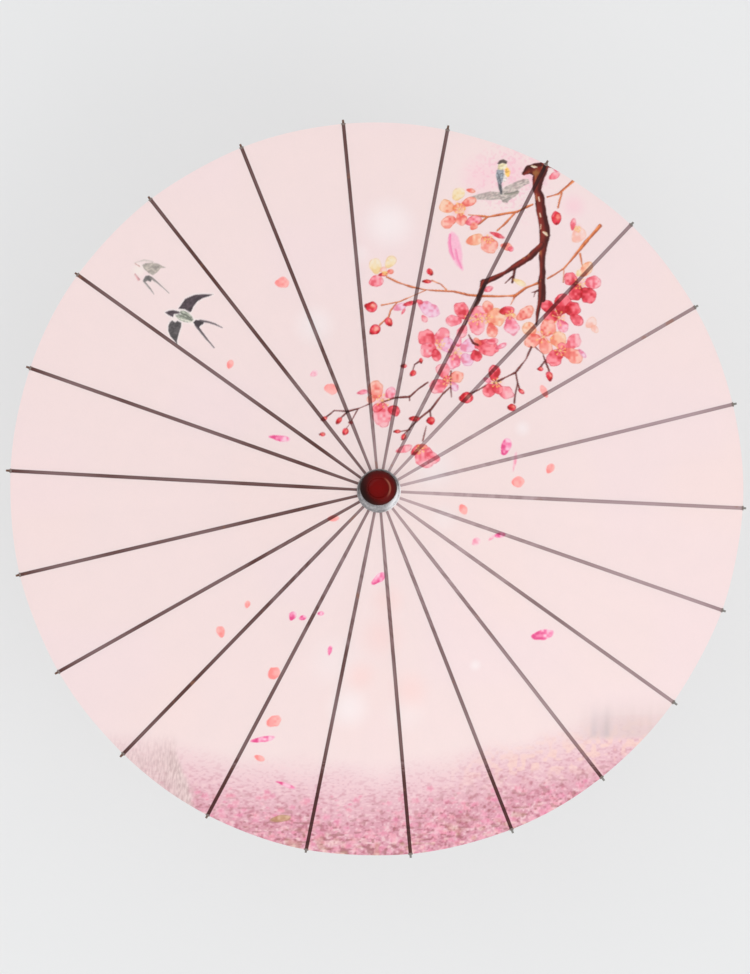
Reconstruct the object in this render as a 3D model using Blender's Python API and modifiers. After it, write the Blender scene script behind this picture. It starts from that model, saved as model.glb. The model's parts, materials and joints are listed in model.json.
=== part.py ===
"""Oil paper umbrella: a folding bamboo frame of 22 ribs and stretchers under one paper canopy.

Metres, +Z up the shaft. The origin is the centre of the grip's flat lower end, rib_00 points along +X,
and the umbrella stands open. Each rib turns on the hub's wire, each stretcher on its rib's middle pin.
"""

import math

import bmesh
import bpy
from mathutils import Matrix, Vector

# Driving dimensions
RIB_COUNT = 22
SLOPE = math.radians(18)
RIB_TIP_RADIUS = 0.4195
PAPER_RADIUS = 0.4165
PIVOT_RADIUS = 0.016
HUB_PIVOT_Z = 0.520
STRETCHER_LENGTH = 0.190
SHAFT_RADIUS = 0.00625
GAP = 0.0003

# The stretchers and the ribs' inner parts are equally long, so the runner keeps below the hub
RUNNER_PIVOT_Z = HUB_PIVOT_Z - 2 * STRETCHER_LENGTH * math.sin(SLOPE)
RIB_LENGTH = (RIB_TIP_RADIUS - PIVOT_RADIUS) / math.cos(SLOPE)

# Wires, pins and the holes around them
WIRE_RADIUS = 0.0005
WIRE_HOLE_RADIUS = 0.0009
MIDDLE_HOLE_RADIUS = 0.0008
PEG_RADIUS = 0.0012
PEG_HOLE_RADIUS = 0.0015
CATCH_PIN_RADIUS = 0.0008
CATCH_HOLE_RADIUS = 0.0011

# Ribs: the pivot line is at height 0, and the paper lies on RIB_TOP
RIB_TOP = 0.0033
RIB_BOTTOM = -0.0017
RIB_TIP_BOTTOM = 0.0010
RIB_END_RADIUS = 0.0023
RIB_TONGUE_WIDTH = 0.0024
RIB_TONGUE_LENGTH = 0.014
RIB_FULL_WIDTH_AT = 0.040
RIB_WIDTH = 0.0047
RIB_OUTER_WIDTH = 0.0040
RIB_NOSE_LENGTH = 0.0050
RIB_NOSE_WIDTH = 0.0028

# The slot that a stretcher folds into, measured from the middle pin
SLOT_INWARD = 0.0065
SLOT_OUTWARD = 0.0190
SLOT_WIDTH = 0.0020
SLOT_ROOF = 0.0022

# Stretchers
STRETCHER_WIDTH = 0.0032
STRETCHER_DEPTH = 0.0035
OUTER_TONGUE_WIDTH = 0.0014
OUTER_TONGUE_LENGTH = 0.024
INNER_TONGUE_WIDTH = 0.0020
INNER_TONGUE_LENGTH = 0.0082

# Hub and runner
CROWN_RADIUS = 0.020
BORE_RADIUS = 0.00655
RUNNER_BORE_RADIUS = 0.00675
SLOT_BOTTOM_RADIUS = 0.013
HUB_SLOT_WIDTH = 0.0030
RUNNER_SLOT_WIDTH = 0.0026
HUB_TOP = 0.0038
HUB_SLOT_TOP = 0.0029
HUB_FLANGE_BOTTOM = -0.0036
HUB_BOSS_RADIUS = 0.0125
HUB_BOSS_BOTTOM = -0.0140
HUB_PEG_DROP = 0.0090
RUNNER_TOP = 0.0034
RUNNER_SLOT_FLOOR = -0.0026
RUNNER_LENGTH = 0.0450

# Canopy, collar and cap
PAPER_THICKNESS = 0.0005
PAPER_INNER_RADIUS = 0.0206
COLLAR_RADIUS = 0.0240
COLLAR_TOP = 0.0080
COLLAR_LIP = 0.0012
CAP_RADIUS = 0.0199
CAP_HEIGHT = 0.0140
CAP_LEAN = Vector((-0.0006, 0.0026, 0))
SHAFT_TOP = HUB_PIVOT_Z + 0.0175

# Grip
GRIP_HEIGHT = 0.085
GRIP_RADIUS = 0.013
GRIP_BORE_BOTTOM = 0.008
GRIP_PEG_Z = 0.060

# Spring catch in the shaft, under the open runner
CATCH_PIN_Z = 0.3000
CATCH_PIN_X = 0.0005
CATCH_WIDTH = 0.0022
CATCH_TOP = RUNNER_PIVOT_Z - RUNNER_LENGTH - 0.0008
CATCH_REACH = 0.0095
CATCH_SLOT_WIDTH = 0.0028
CATCH_SLOT_BACK = -0.0042

ROUND_STEPS = 2 * RIB_COUNT
HOLE_SIDES = 6


def clear_scene():
    for old in list(bpy.data.objects):
        bpy.data.objects.remove(old, do_unlink=True)


def new_collection(name):
    collection = bpy.data.collections.new(name)
    bpy.context.scene.collection.children.link(collection)
    return collection


def new_material(name, colour, roughness, metallic=0.0):
    material = bpy.data.materials.new(name)
    material.use_nodes = True
    shader = material.node_tree.nodes["Principled BSDF"]
    shader.inputs["Base Color"].default_value = (*colour, 1)
    shader.inputs["Roughness"].default_value = roughness
    shader.inputs["Metallic"].default_value = metallic
    material.diffuse_color = (*colour, 1)
    return material


clear_scene()
UMBRELLA = new_collection("oil_paper_umbrella")
CUTTERS = new_collection("cutters")

BAMBOO = new_material("bamboo", (0.18, 0.07, 0.05), 0.6)
TURNED_WOOD = new_material("turned_wood", (0.25, 0.12, 0.06), 0.5)
LACQUER = new_material("red_lacquer", (0.17, 0.008, 0.006), 0.25)
OILED_PAPER = new_material("oiled_paper", (0.90, 0.74, 0.73), 0.5)
GREY_METAL = new_material("grey_metal", (0.45, 0.43, 0.42), 0.45, 0.8)
STEEL_WIRE = new_material("steel_wire", (0.40, 0.39, 0.37), 0.4, 1.0)


def add_object(name, mesh, material):
    """A finished piece of the umbrella."""
    piece = bpy.data.objects.new(name, mesh)
    UMBRELLA.objects.link(piece)
    mesh.materials.clear()
    mesh.materials.append(material)
    return piece


def add_cutter(name, mesh):
    cutter = bpy.data.objects.new(name, mesh)
    CUTTERS.objects.link(cutter)
    cutter.hide_render = True
    cutter.display_type = "WIRE"
    return cutter


def mesh_from(name, shape):
    """The bmesh's mesh, its normals pointing out. It frees the bmesh."""
    bmesh.ops.recalc_face_normals(shape, faces=shape.faces)
    mesh = bpy.data.meshes.new(name)
    shape.to_mesh(mesh)
    shape.free()
    return mesh


def smooth(piece, angle=35):
    piece.data.shade_smooth()
    piece.data.set_sharp_from_angle(angle=math.radians(angle))


def rod_mesh(name, radius, start, end, sides):
    """A round rod between two points."""
    start, end = Vector(start), Vector(end)
    run = end - start
    place = Matrix.Translation((start + end) / 2) @ run.to_track_quat("Z", "Y").to_matrix().to_4x4()
    shape = bmesh.new()
    bmesh.ops.create_cone(
        shape, cap_ends=True, segments=sides, radius1=radius, radius2=radius, depth=run.length, matrix=place
    )
    return mesh_from(name, shape)


def box_mesh(name, boxes):
    """Boxes, each a low corner, a high corner and the matrix that places it."""
    shape = bmesh.new()
    for low, high, place in boxes:
        low, high = Vector(low), Vector(high)
        size = high - low
        stretch = Matrix.Diagonal((*size, 1))
        bmesh.ops.create_cube(shape, size=1, matrix=place @ Matrix.Translation((low + high) / 2) @ stretch)
    return mesh_from(name, shape)


def turned(name, profile, material, on_axis=False):
    """A turned piece: the profile, radius and height, runs down the outside. A closed one comes back up."""
    mesh = bpy.data.meshes.new(name)
    count = len(profile)
    edges = [(i, i + 1) for i in range(count - 1)]
    if not on_axis:
        edges.append((count - 1, 0))
    mesh.from_pydata([(radius, 0, height) for radius, height in profile], edges, [])
    piece = add_object(name, mesh, material)
    screw = piece.modifiers.new("turn", "SCREW")
    screw.axis = "Z"
    screw.steps = ROUND_STEPS
    screw.render_steps = ROUND_STEPS
    screw.use_merge_vertices = True
    screw.merge_threshold = 1e-6
    screw.use_smooth_shade = True
    return piece


def cut(piece, cutter, operation="DIFFERENCE"):
    step = piece.modifiers.new(cutter.name, "BOOLEAN")
    step.operation = operation
    step.object = cutter
    step.solver = "EXACT"


def finished_mesh(piece):
    """The mesh of a piece with its modifiers applied. The piece itself is removed."""
    graph = bpy.context.evaluated_depsgraph_get()
    mesh = bpy.data.meshes.new_from_object(piece.evaluated_get(graph))
    bpy.data.objects.remove(piece, do_unlink=True)
    return mesh


def lofted_bar(name, sections):
    """A bar through rectangles, each its place along +X, its half width, its bottom and its top."""
    shape = bmesh.new()
    rings = []
    for along, half_width, bottom, top in sections:
        corners = ((-half_width, bottom), (half_width, bottom), (half_width, top), (-half_width, top))
        rings.append([shape.verts.new((along, across, height)) for across, height in corners])
    for first, second in zip(rings, rings[1:]):
        for i in range(4):
            j = (i + 1) % 4
            shape.faces.new((first[i], first[j], second[j], second[i]))
    shape.faces.new(rings[0][::-1])
    shape.faces.new(rings[-1])
    return mesh_from(name, shape)


def round_end(radius, half_width, centre, side):
    """The sections of a half-round end: side -1 opens a bar, and side 1 closes it."""
    turns = [math.radians(angle) for angle in (25, 55)]
    if side > 0:
        turns.reverse()
    return [
        (centre + side * radius * math.cos(turn), half_width, -radius * math.sin(turn), radius * math.sin(turn))
        for turn in turns
    ]


def rib_mesh():
    """A rib along +X from its pivot, with the slot and the pin of its stretcher."""
    tongue = RIB_TONGUE_WIDTH / 2
    full = RIB_WIDTH / 2
    outer = RIB_OUTER_WIDTH / 2
    nose = RIB_NOSE_WIDTH / 2
    shoulder = RIB_LENGTH - RIB_NOSE_LENGTH
    sections = round_end(RIB_END_RADIUS, tongue, 0, -1)
    sections += [
        (0, tongue, -RIB_END_RADIUS, RIB_END_RADIUS),
        (0.010, tongue, RIB_BOTTOM, RIB_TOP),
        (RIB_TONGUE_LENGTH, tongue, RIB_BOTTOM, RIB_TOP),
        (RIB_FULL_WIDTH_AT, full, RIB_BOTTOM, RIB_TOP),
        (STRETCHER_LENGTH + SLOT_OUTWARD + 0.005, full, RIB_BOTTOM, RIB_TOP),
        (shoulder, outer, RIB_TIP_BOTTOM, RIB_TOP),
        (shoulder + 0.0008, nose, RIB_TIP_BOTTOM + 0.0002, RIB_TOP - 0.0002),
        (RIB_LENGTH, nose * 0.8, RIB_TIP_BOTTOM + 0.0004, RIB_TOP - 0.0005),
    ]
    rib = add_object("rib", lofted_bar("rib", sections), BAMBOO)
    middle = Vector((STRETCHER_LENGTH, 0, 0))
    wide = Vector((0, 0.004, 0))
    hole = add_cutter("rib_hole", rod_mesh("rib_hole", WIRE_HOLE_RADIUS, -wide, wide, HOLE_SIDES))
    slot_low = (STRETCHER_LENGTH - SLOT_INWARD, -SLOT_WIDTH / 2, -0.005)
    slot_high = (STRETCHER_LENGTH + SLOT_OUTWARD, SLOT_WIDTH / 2, SLOT_ROOF)
    slot = add_cutter("rib_slot", box_mesh("rib_slot", [(slot_low, slot_high, Matrix())]))
    into_ears = Vector((0, SLOT_WIDTH / 2 + 0.0009, 0))
    pin_mesh = rod_mesh("rib_pin", WIRE_RADIUS, middle - into_ears, middle + into_ears, HOLE_SIDES)
    pin = add_cutter("rib_pin", pin_mesh)
    cut(rib, hole)
    cut(rib, slot)
    cut(rib, pin, "UNION")
    return finished_mesh(rib)


def stretcher_mesh():
    """A stretcher along +X from the rib's middle pin to the runner's wire."""
    depth = STRETCHER_DEPTH / 2
    outer = OUTER_TONGUE_WIDTH / 2
    inner = INNER_TONGUE_WIDTH / 2
    full = STRETCHER_WIDTH / 2
    sections = round_end(depth, outer, 0, -1)
    sections += [
        (0, outer, -depth, depth),
        (OUTER_TONGUE_LENGTH, outer, -depth, depth),
        (OUTER_TONGUE_LENGTH + 0.006, full, -depth, depth),
        (STRETCHER_LENGTH - INNER_TONGUE_LENGTH - 0.002, full, -depth, depth),
        (STRETCHER_LENGTH - INNER_TONGUE_LENGTH, inner, -depth, depth),
        (STRETCHER_LENGTH, inner, -depth, depth),
    ]
    sections += round_end(depth, inner, STRETCHER_LENGTH, 1)
    stretcher = add_object("stretcher", lofted_bar("stretcher", sections), BAMBOO)
    wide = Vector((0, 0.004, 0))
    end = Vector((STRETCHER_LENGTH, 0, 0))
    outer_mesh = rod_mesh("outer_hole", MIDDLE_HOLE_RADIUS, -wide, wide, HOLE_SIDES)
    inner_mesh = rod_mesh("inner_hole", WIRE_HOLE_RADIUS, end - wide, end + wide, HOLE_SIDES)
    cut(stretcher, add_cutter("outer_hole", outer_mesh))
    cut(stretcher, add_cutter("inner_hole", inner_mesh))
    return finished_mesh(stretcher)


def rib_turn(index):
    return Matrix.Rotation(2 * math.pi * index / RIB_COUNT, 4, "Z")


def build_ribs_and_stretchers():
    rib = rib_mesh()
    stretcher = stretcher_mesh()
    to_hub = Matrix.Translation((PIVOT_RADIUS, 0, HUB_PIVOT_Z)) @ Matrix.Rotation(SLOPE, 4, "Y")
    to_middle = to_hub @ Matrix.Translation((STRETCHER_LENGTH, 0, 0))
    back_and_down = Matrix.Rotation(math.pi - 2 * SLOPE, 4, "Y")
    for index in range(RIB_COUNT):
        turn = rib_turn(index)
        add_object(f"rib_{index:02d}", rib, BAMBOO).matrix_world = turn @ to_hub
        strut = add_object(f"stretcher_{index:02d}", stretcher, BAMBOO)
        strut.matrix_world = turn @ to_middle @ back_and_down


def slot_cutter(name, width, bottom, top):
    """One slot for each rib, from the slots' bottom radius out through the crown."""
    low = (SLOT_BOTTOM_RADIUS, -width / 2, bottom)
    high = (CROWN_RADIUS + 0.003, width / 2, top)
    return add_cutter(name, box_mesh(name, [(low, high, rib_turn(i)) for i in range(RIB_COUNT)]))


def ring_mesh(name, minor_radius, height):
    bpy.ops.mesh.primitive_torus_add(
        major_segments=ROUND_STEPS,
        minor_segments=HOLE_SIDES,
        major_radius=PIVOT_RADIUS,
        minor_radius=minor_radius,
        location=(0, 0, height),
    )
    made = bpy.context.object
    mesh = made.data
    mesh.name = name
    mesh.transform(made.matrix_world)
    bpy.data.objects.remove(made, do_unlink=True)
    return mesh


def add_wire(name, height):
    smooth(add_object(name, ring_mesh(name, WIRE_RADIUS, height), STEEL_WIRE), 60)


def build_hub():
    top = HUB_PIVOT_Z + HUB_TOP
    flange = HUB_PIVOT_Z + HUB_FLANGE_BOTTOM
    foot = HUB_PIVOT_Z + HUB_BOSS_BOTTOM
    bevel = 0.0006
    profile = [
        (BORE_RADIUS, top),
        (CROWN_RADIUS - bevel, top),
        (CROWN_RADIUS, top - bevel),
        (CROWN_RADIUS, flange),
        (HUB_BOSS_RADIUS, flange),
        (HUB_BOSS_RADIUS, foot + bevel),
        (HUB_BOSS_RADIUS - bevel, foot),
        (BORE_RADIUS, foot),
    ]
    hub = turned("top_hub", profile, TURNED_WOOD)
    slots_bottom = flange - 0.002
    cut(hub, slot_cutter("hub_slots", HUB_SLOT_WIDTH, slots_bottom, HUB_PIVOT_Z + HUB_SLOT_TOP))
    cut(hub, add_cutter("hub_wire_hole", ring_mesh("hub_wire_hole", WIRE_HOLE_RADIUS, HUB_PIVOT_Z)))
    peg_z = HUB_PIVOT_Z - HUB_PEG_DROP
    reach = HUB_BOSS_RADIUS + 0.003
    peg_hole = rod_mesh("hub_peg_hole", PEG_HOLE_RADIUS, (-reach, 0, peg_z), (reach, 0, peg_z), 8)
    cut(hub, add_cutter("hub_peg_hole", peg_hole))
    peg_end = HUB_BOSS_RADIUS - 0.0002
    peg = rod_mesh("hub_peg", PEG_RADIUS, (-peg_end, 0, peg_z), (peg_end, 0, peg_z), 8)
    smooth(add_object("hub_peg", peg, BAMBOO), 60)
    add_wire("hub_wire", HUB_PIVOT_Z)


def build_runner():
    top = RUNNER_PIVOT_Z + RUNNER_TOP
    crown_bottom = RUNNER_PIVOT_Z - 0.0065
    foot = RUNNER_PIVOT_Z - RUNNER_LENGTH
    neck = 0.0115
    profile = [
        (RUNNER_BORE_RADIUS, top),
        (CROWN_RADIUS, top),
        (CROWN_RADIUS, crown_bottom),
        (CROWN_RADIUS - 0.0015, crown_bottom - 0.0015),
        (neck + 0.0015, crown_bottom - 0.005),
        (neck, crown_bottom - 0.009),
        (neck, foot + 0.008),
        (0.0140, foot + 0.004),
        (0.0140, foot + 0.001),
        (0.0130, foot),
        (RUNNER_BORE_RADIUS, foot),
    ]
    runner = turned("runner", profile, TURNED_WOOD)
    floor = RUNNER_PIVOT_Z + RUNNER_SLOT_FLOOR
    cut(runner, slot_cutter("runner_slots", RUNNER_SLOT_WIDTH, floor, top + 0.002))
    hole = ring_mesh("runner_wire_hole", WIRE_HOLE_RADIUS, RUNNER_PIVOT_Z)
    cut(runner, add_cutter("runner_wire_hole", hole))
    add_wire("runner_wire", RUNNER_PIVOT_Z)


def paper_underside(radius):
    """The height of the canopy's lower face over a rib at this radius."""
    return HUB_PIVOT_Z - (radius - PIVOT_RADIUS) * math.tan(SLOPE) + (RIB_TOP + GAP) / math.cos(SLOPE)


def build_canopy():
    """The paper, a cone from under the collar to the rim, with an edge on each rib."""
    mesh = bpy.data.meshes.new("canopy")
    ends = [(radius, 0, paper_underside(radius)) for radius in (PAPER_INNER_RADIUS, PAPER_RADIUS)]
    mesh.from_pydata(ends, [(0, 1)], [])
    canopy = add_object("canopy", mesh, OILED_PAPER)
    screw = canopy.modifiers.new("round", "SCREW")
    screw.axis = "Z"
    screw.steps = ROUND_STEPS
    screw.render_steps = ROUND_STEPS
    screw.use_merge_vertices = True
    screw.merge_threshold = 1e-6
    shell = canopy.modifiers.new("thickness", "SOLIDIFY")
    shell.thickness = PAPER_THICKNESS
    shell.offset = 1
    shell.use_even_offset = True


def build_collar():
    """The grey ferrule over the paper's inner edge: its skirt follows the slope of the paper."""
    paper_top = PAPER_THICKNESS / math.cos(SLOPE) + GAP
    inner = PAPER_INNER_RADIUS + 0.0002
    top = HUB_PIVOT_Z + COLLAR_TOP
    seat = top - COLLAR_LIP
    rest = HUB_PIVOT_Z + HUB_TOP + GAP
    lip = CAP_RADIUS + CAP_LEAN.length
    profile = [
        (BORE_RADIUS, seat),
        (lip - GAP, seat),
        (lip, top - 0.0003),
        (lip + 0.0004, top),
        (lip + 0.0008, top),
        (COLLAR_RADIUS - 0.0002, top - 0.0008),
        (COLLAR_RADIUS, top - 0.0030),
        (COLLAR_RADIUS, paper_underside(COLLAR_RADIUS) + paper_top),
        (inner, paper_underside(inner) + paper_top),
        (CROWN_RADIUS, rest),
        (BORE_RADIUS, rest),
    ]
    turned("collar", profile, GREY_METAL)


def cap_profile(bottom):
    """The lacquered knob's side as a quarter of an oval, and the dish in its top, from the axis down."""
    dish_radius = 0.0112
    ring_radius = 0.0128
    shoulder = 0.0140
    dish = bottom + CAP_HEIGHT - 0.0016
    ring = bottom + CAP_HEIGHT
    widest = bottom + 0.0045
    profile = [(0, dish), (dish_radius * 0.6, dish), (dish_radius, dish + 0.0006), (ring_radius, ring)]
    for step in range(5):
        turn = math.radians(90 - 22.5 * step)
        radius = shoulder + (CAP_RADIUS - shoulder) * math.cos(turn)
        height = widest + (ring - 0.0008 - widest) * math.sin(turn)
        profile.append((radius, height))
    profile += [(CAP_RADIUS - 0.0002, bottom + 0.0022), (CAP_RADIUS - 0.0014, bottom), (0, bottom)]
    return profile


def build_cap():
    """The cap sits a little off the shaft's axis, and its bore stays on it."""
    bottom = HUB_PIVOT_Z + COLLAR_TOP - COLLAR_LIP + GAP
    cap = turned("cap", cap_profile(bottom), LACQUER, on_axis=True)
    cap.location = CAP_LEAN
    bore = rod_mesh("cap_bore", BORE_RADIUS, (0, 0, bottom - 0.002), (0, 0, SHAFT_TOP + GAP), 24)
    cut(cap, add_cutter("cap_bore", bore))


def build_shaft():
    bottom = GRIP_BORE_BOTTOM + GAP
    rod = rod_mesh("shaft", SHAFT_RADIUS, (0, 0, bottom), (0, 0, SHAFT_TOP), 24)
    shaft = add_object("shaft", rod, BAMBOO)
    smooth(shaft)
    half = CATCH_SLOT_WIDTH / 2
    slot_low = (CATCH_SLOT_BACK, -half, CATCH_PIN_Z - 0.0055)
    slot_high = (SHAFT_RADIUS + 0.002, half, CATCH_TOP + 0.0040)
    cut(shaft, add_cutter("catch_slot", box_mesh("catch_slot", [(slot_low, slot_high, Matrix())])))
    reach = SHAFT_RADIUS + 0.002
    peg_z = HUB_PIVOT_Z - HUB_PEG_DROP
    holes = {
        "shaft_hub_hole": (PEG_HOLE_RADIUS, (-reach, 0, peg_z), (reach, 0, peg_z)),
        "shaft_grip_hole": (PEG_HOLE_RADIUS, (0, -reach, GRIP_PEG_Z), (0, reach, GRIP_PEG_Z)),
        "shaft_catch_hole": (
            CATCH_HOLE_RADIUS,
            (CATCH_PIN_X, -reach, CATCH_PIN_Z),
            (CATCH_PIN_X, reach, CATCH_PIN_Z),
        ),
    }
    for name, (radius, start, end) in holes.items():
        cut(shaft, add_cutter(name, rod_mesh(name, radius, start, end, 8)))


def build_grip():
    top = GRIP_HEIGHT
    floor = GRIP_BORE_BOTTOM
    profile = [
        (BORE_RADIUS, top),
        (0.0088, top),
        (0.0096, top - 0.0012),
        (0.0096, top - 0.006),
        (0.0108, top - 0.010),
        (0.0118, 0.055),
        (GRIP_RADIUS, 0.026),
        (GRIP_RADIUS, 0.010),
        (GRIP_RADIUS - 0.0012, 0.004),
        (GRIP_RADIUS - 0.0040, 0),
        (0, 0),
    ]
    grip = turned("grip", [(0, floor), (BORE_RADIUS, floor), *profile], TURNED_WOOD, on_axis=True)
    reach = GRIP_RADIUS + 0.003
    hole = rod_mesh("grip_peg_hole", PEG_HOLE_RADIUS, (0, -reach, GRIP_PEG_Z), (0, reach, GRIP_PEG_Z), 8)
    cut(grip, add_cutter("grip_peg_hole", hole))
    end = 0.0114
    peg = rod_mesh("grip_peg", PEG_RADIUS, (0, -end, GRIP_PEG_Z), (0, end, GRIP_PEG_Z), 8)
    smooth(add_object("grip_peg", peg, BAMBOO), 60)


def build_catch():
    """The spring catch: a flat steel wedge whose top stops the runner. It turns on its pin at the foot."""
    outline = [
        (-0.0016, -0.0022),
        (0.0016, -0.0022),
        (0.0032, 0.0030),
        (CATCH_REACH - CATCH_PIN_X, CATCH_TOP - CATCH_PIN_Z - 0.0025),
        (CATCH_REACH - CATCH_PIN_X, CATCH_TOP - CATCH_PIN_Z),
        (0.0030, CATCH_TOP - CATCH_PIN_Z),
        (0.0018, CATCH_TOP - CATCH_PIN_Z - 0.0040),
        (-0.0016, 0.0030),
    ]
    curve = bpy.data.curves.new("catch_spring", "CURVE")
    curve.dimensions = "2D"
    curve.fill_mode = "BOTH"
    curve.extrude = CATCH_WIDTH / 2
    spline = curve.splines.new("POLY")
    spline.points.add(len(outline) - 1)
    for point, (across, up) in zip(spline.points, outline):
        point.co = (across, up, 0, 1)
    spline.use_cyclic_u = True
    flat = bpy.data.objects.new("catch_outline", curve)
    UMBRELLA.objects.link(flat)
    place = Matrix.Translation((CATCH_PIN_X, 0, CATCH_PIN_Z)) @ Matrix.Rotation(math.pi / 2, 4, "X")
    shape = bmesh.new()
    shape.from_mesh(finished_mesh(flat))
    bmesh.ops.remove_doubles(shape, verts=shape.verts, dist=1e-6)
    catch = add_object("catch_spring", mesh_from("catch_spring", shape), STEEL_WIRE)
    catch.matrix_world = place
    wide = 0.003
    start = (CATCH_PIN_X, -wide, CATCH_PIN_Z)
    end = (CATCH_PIN_X, wide, CATCH_PIN_Z)
    cut(catch, add_cutter("catch_eye", rod_mesh("catch_eye", CATCH_HOLE_RADIUS, start, end, 8)))
    half = SHAFT_RADIUS - 0.0003
    pin_start = (CATCH_PIN_X, -half, CATCH_PIN_Z)
    pin_end = (CATCH_PIN_X, half, CATCH_PIN_Z)
    pin = rod_mesh("catch_pin", CATCH_PIN_RADIUS, pin_start, pin_end, 8)
    smooth(add_object("catch_pin", pin, STEEL_WIRE), 60)


def main():
    build_ribs_and_stretchers()
    build_hub()
    build_runner()
    build_canopy()
    build_collar()
    build_cap()
    build_shaft()
    build_grip()
    build_catch()


main()
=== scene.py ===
"""Looks of the open oil paper umbrella: printed paper over dark bamboo, lacquered cap and grey ferrule."""

import json
import math

import bmesh
import bpy
import numpy as np
from mathutils import Matrix, Vector

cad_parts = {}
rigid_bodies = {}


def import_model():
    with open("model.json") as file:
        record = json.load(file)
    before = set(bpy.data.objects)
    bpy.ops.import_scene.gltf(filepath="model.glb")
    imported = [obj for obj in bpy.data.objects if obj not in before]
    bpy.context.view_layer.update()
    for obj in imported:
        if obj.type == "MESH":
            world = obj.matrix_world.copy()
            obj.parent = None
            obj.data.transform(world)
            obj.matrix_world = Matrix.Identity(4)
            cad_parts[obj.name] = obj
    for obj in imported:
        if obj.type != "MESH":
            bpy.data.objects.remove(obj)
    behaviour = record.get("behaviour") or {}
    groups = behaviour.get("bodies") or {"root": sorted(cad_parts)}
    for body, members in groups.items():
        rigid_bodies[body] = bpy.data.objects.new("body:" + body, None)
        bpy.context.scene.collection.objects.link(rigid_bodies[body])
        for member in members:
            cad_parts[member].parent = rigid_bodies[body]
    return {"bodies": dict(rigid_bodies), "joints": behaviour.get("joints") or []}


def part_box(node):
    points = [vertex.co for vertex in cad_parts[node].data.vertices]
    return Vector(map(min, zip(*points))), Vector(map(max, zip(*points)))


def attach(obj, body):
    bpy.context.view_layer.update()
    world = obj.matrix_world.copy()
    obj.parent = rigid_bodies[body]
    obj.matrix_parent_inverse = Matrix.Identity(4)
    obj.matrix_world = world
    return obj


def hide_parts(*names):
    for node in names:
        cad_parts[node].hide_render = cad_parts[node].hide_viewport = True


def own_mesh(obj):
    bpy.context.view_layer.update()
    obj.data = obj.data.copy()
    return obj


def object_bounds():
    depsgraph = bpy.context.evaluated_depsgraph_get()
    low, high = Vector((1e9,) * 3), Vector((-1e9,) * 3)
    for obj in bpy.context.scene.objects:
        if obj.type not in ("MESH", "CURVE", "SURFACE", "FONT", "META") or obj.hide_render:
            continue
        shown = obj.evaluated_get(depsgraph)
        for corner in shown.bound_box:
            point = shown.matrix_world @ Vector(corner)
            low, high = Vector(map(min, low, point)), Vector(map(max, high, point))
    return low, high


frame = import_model()
cad_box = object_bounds()

# ---- Sizes, worked out from the frame ----

JOINTS = {joint["name"]: joint for joint in frame["joints"]}
RIB_COUNT = sum(name.startswith("rib_") for name in frame["bodies"])
HALF_PANEL = math.pi / RIB_COUNT
HUB_PIVOT = Vector(JOINTS["fold"]["pos_m"])
MIDDLE_PIVOT = Vector(JOINTS["stretcher_00_turn"]["pos_m"])
SLOPE = math.atan2(HUB_PIVOT.z - MIDDLE_PIVOT.z, MIDDLE_PIVOT.x - HUB_PIVOT.x)
PAPER_LOW, PAPER_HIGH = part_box("canopy")
PAPER_RADIUS = PAPER_HIGH.x
RIB_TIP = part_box("rib_00")[1].x
COLLAR_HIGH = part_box("collar")[1]
PAPER_UNDER_COLLAR = 0.0020
PAPER_INNER_RADIUS = COLLAR_HIGH.x - PAPER_UNDER_COLLAR
PAPER_THICKNESS = 0.0004
# A rib's upper face over its pivot line, and the glue between the rib and the paper
RIB_TOP = 0.0033
GLUE = 0.0003

# The picture's own right-hand direction, measured from rib_00
PICTURE_TURN = math.radians(2.93)


def rib_azimuth(index):
    return 2 * HALF_PANEL * index


def link(thing):
    """Puts a new object into the scene."""
    bpy.context.scene.collection.objects.link(thing)
    return thing


# ---- Camera, light and floor ----

LENS = 85
# What the picture spans from top to bottom, at the height of the paper's rim
FRAME_HEIGHT = 1.1035
# How far the camera and its aim stand off the shaft, along the picture's own axes
CAMERA_SIDE = (-0.041, 0.028)
CAMERA_AIM = (-0.0022, 0.0028)


def picture_point(across, up, height=0.0):
    """A place given along the picture's own axes, in the frame."""
    return Matrix.Rotation(PICTURE_TURN, 3, "Z") @ Vector((across, up, height))


def add_camera():
    camera_data = bpy.data.cameras.new("camera")
    camera_data.lens = LENS
    camera_data.clip_end = 20
    camera = link(bpy.data.objects.new("camera", camera_data))
    distance = FRAME_HEIGHT * LENS / camera_data.sensor_width
    place = picture_point(*CAMERA_SIDE, PAPER_LOW.z + distance)
    aim = picture_point(*CAMERA_AIM, PAPER_LOW.z)
    back = (place - aim).normalized()
    up = picture_point(0, 1)
    right = up.cross(back).normalized()
    turn = Matrix((right, back.cross(right), back)).transposed()
    camera.matrix_world = Matrix.Translation(place) @ turn.to_4x4()
    bpy.context.scene.camera = camera


def add_area_light(name, place, aim, size, power):
    lamp = bpy.data.lights.new(name, "AREA")
    lamp.shape = "DISK"
    lamp.size = size
    lamp.energy = power
    light = link(bpy.data.objects.new(name, lamp))
    direction = Vector(aim) - Vector(place)
    light.location = place
    light.rotation_euler = direction.to_track_quat("-Z", "Y").to_euler()


# ---- Shader maths ----


class Value:
    """A socket that takes part in sums: each operator adds one Math node."""

    def __init__(self, recipe, socket):
        self.recipe = recipe
        self.socket = socket

    def math(self, operation, *others):
        inputs = dict(enumerate((self, *others)))
        return self.recipe.node("ShaderNodeMath", {"operation": operation}, inputs)

    def __add__(self, other):
        return self.math("ADD", other)

    def __sub__(self, other):
        return self.math("SUBTRACT", other)

    def __mul__(self, other):
        return self.math("MULTIPLY", other)

    def __truediv__(self, other):
        return self.math("DIVIDE", other)

    def __rsub__(self, other):
        return self.recipe.node("ShaderNodeMath", {"operation": "SUBTRACT"}, {0: other, 1: self})


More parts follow.
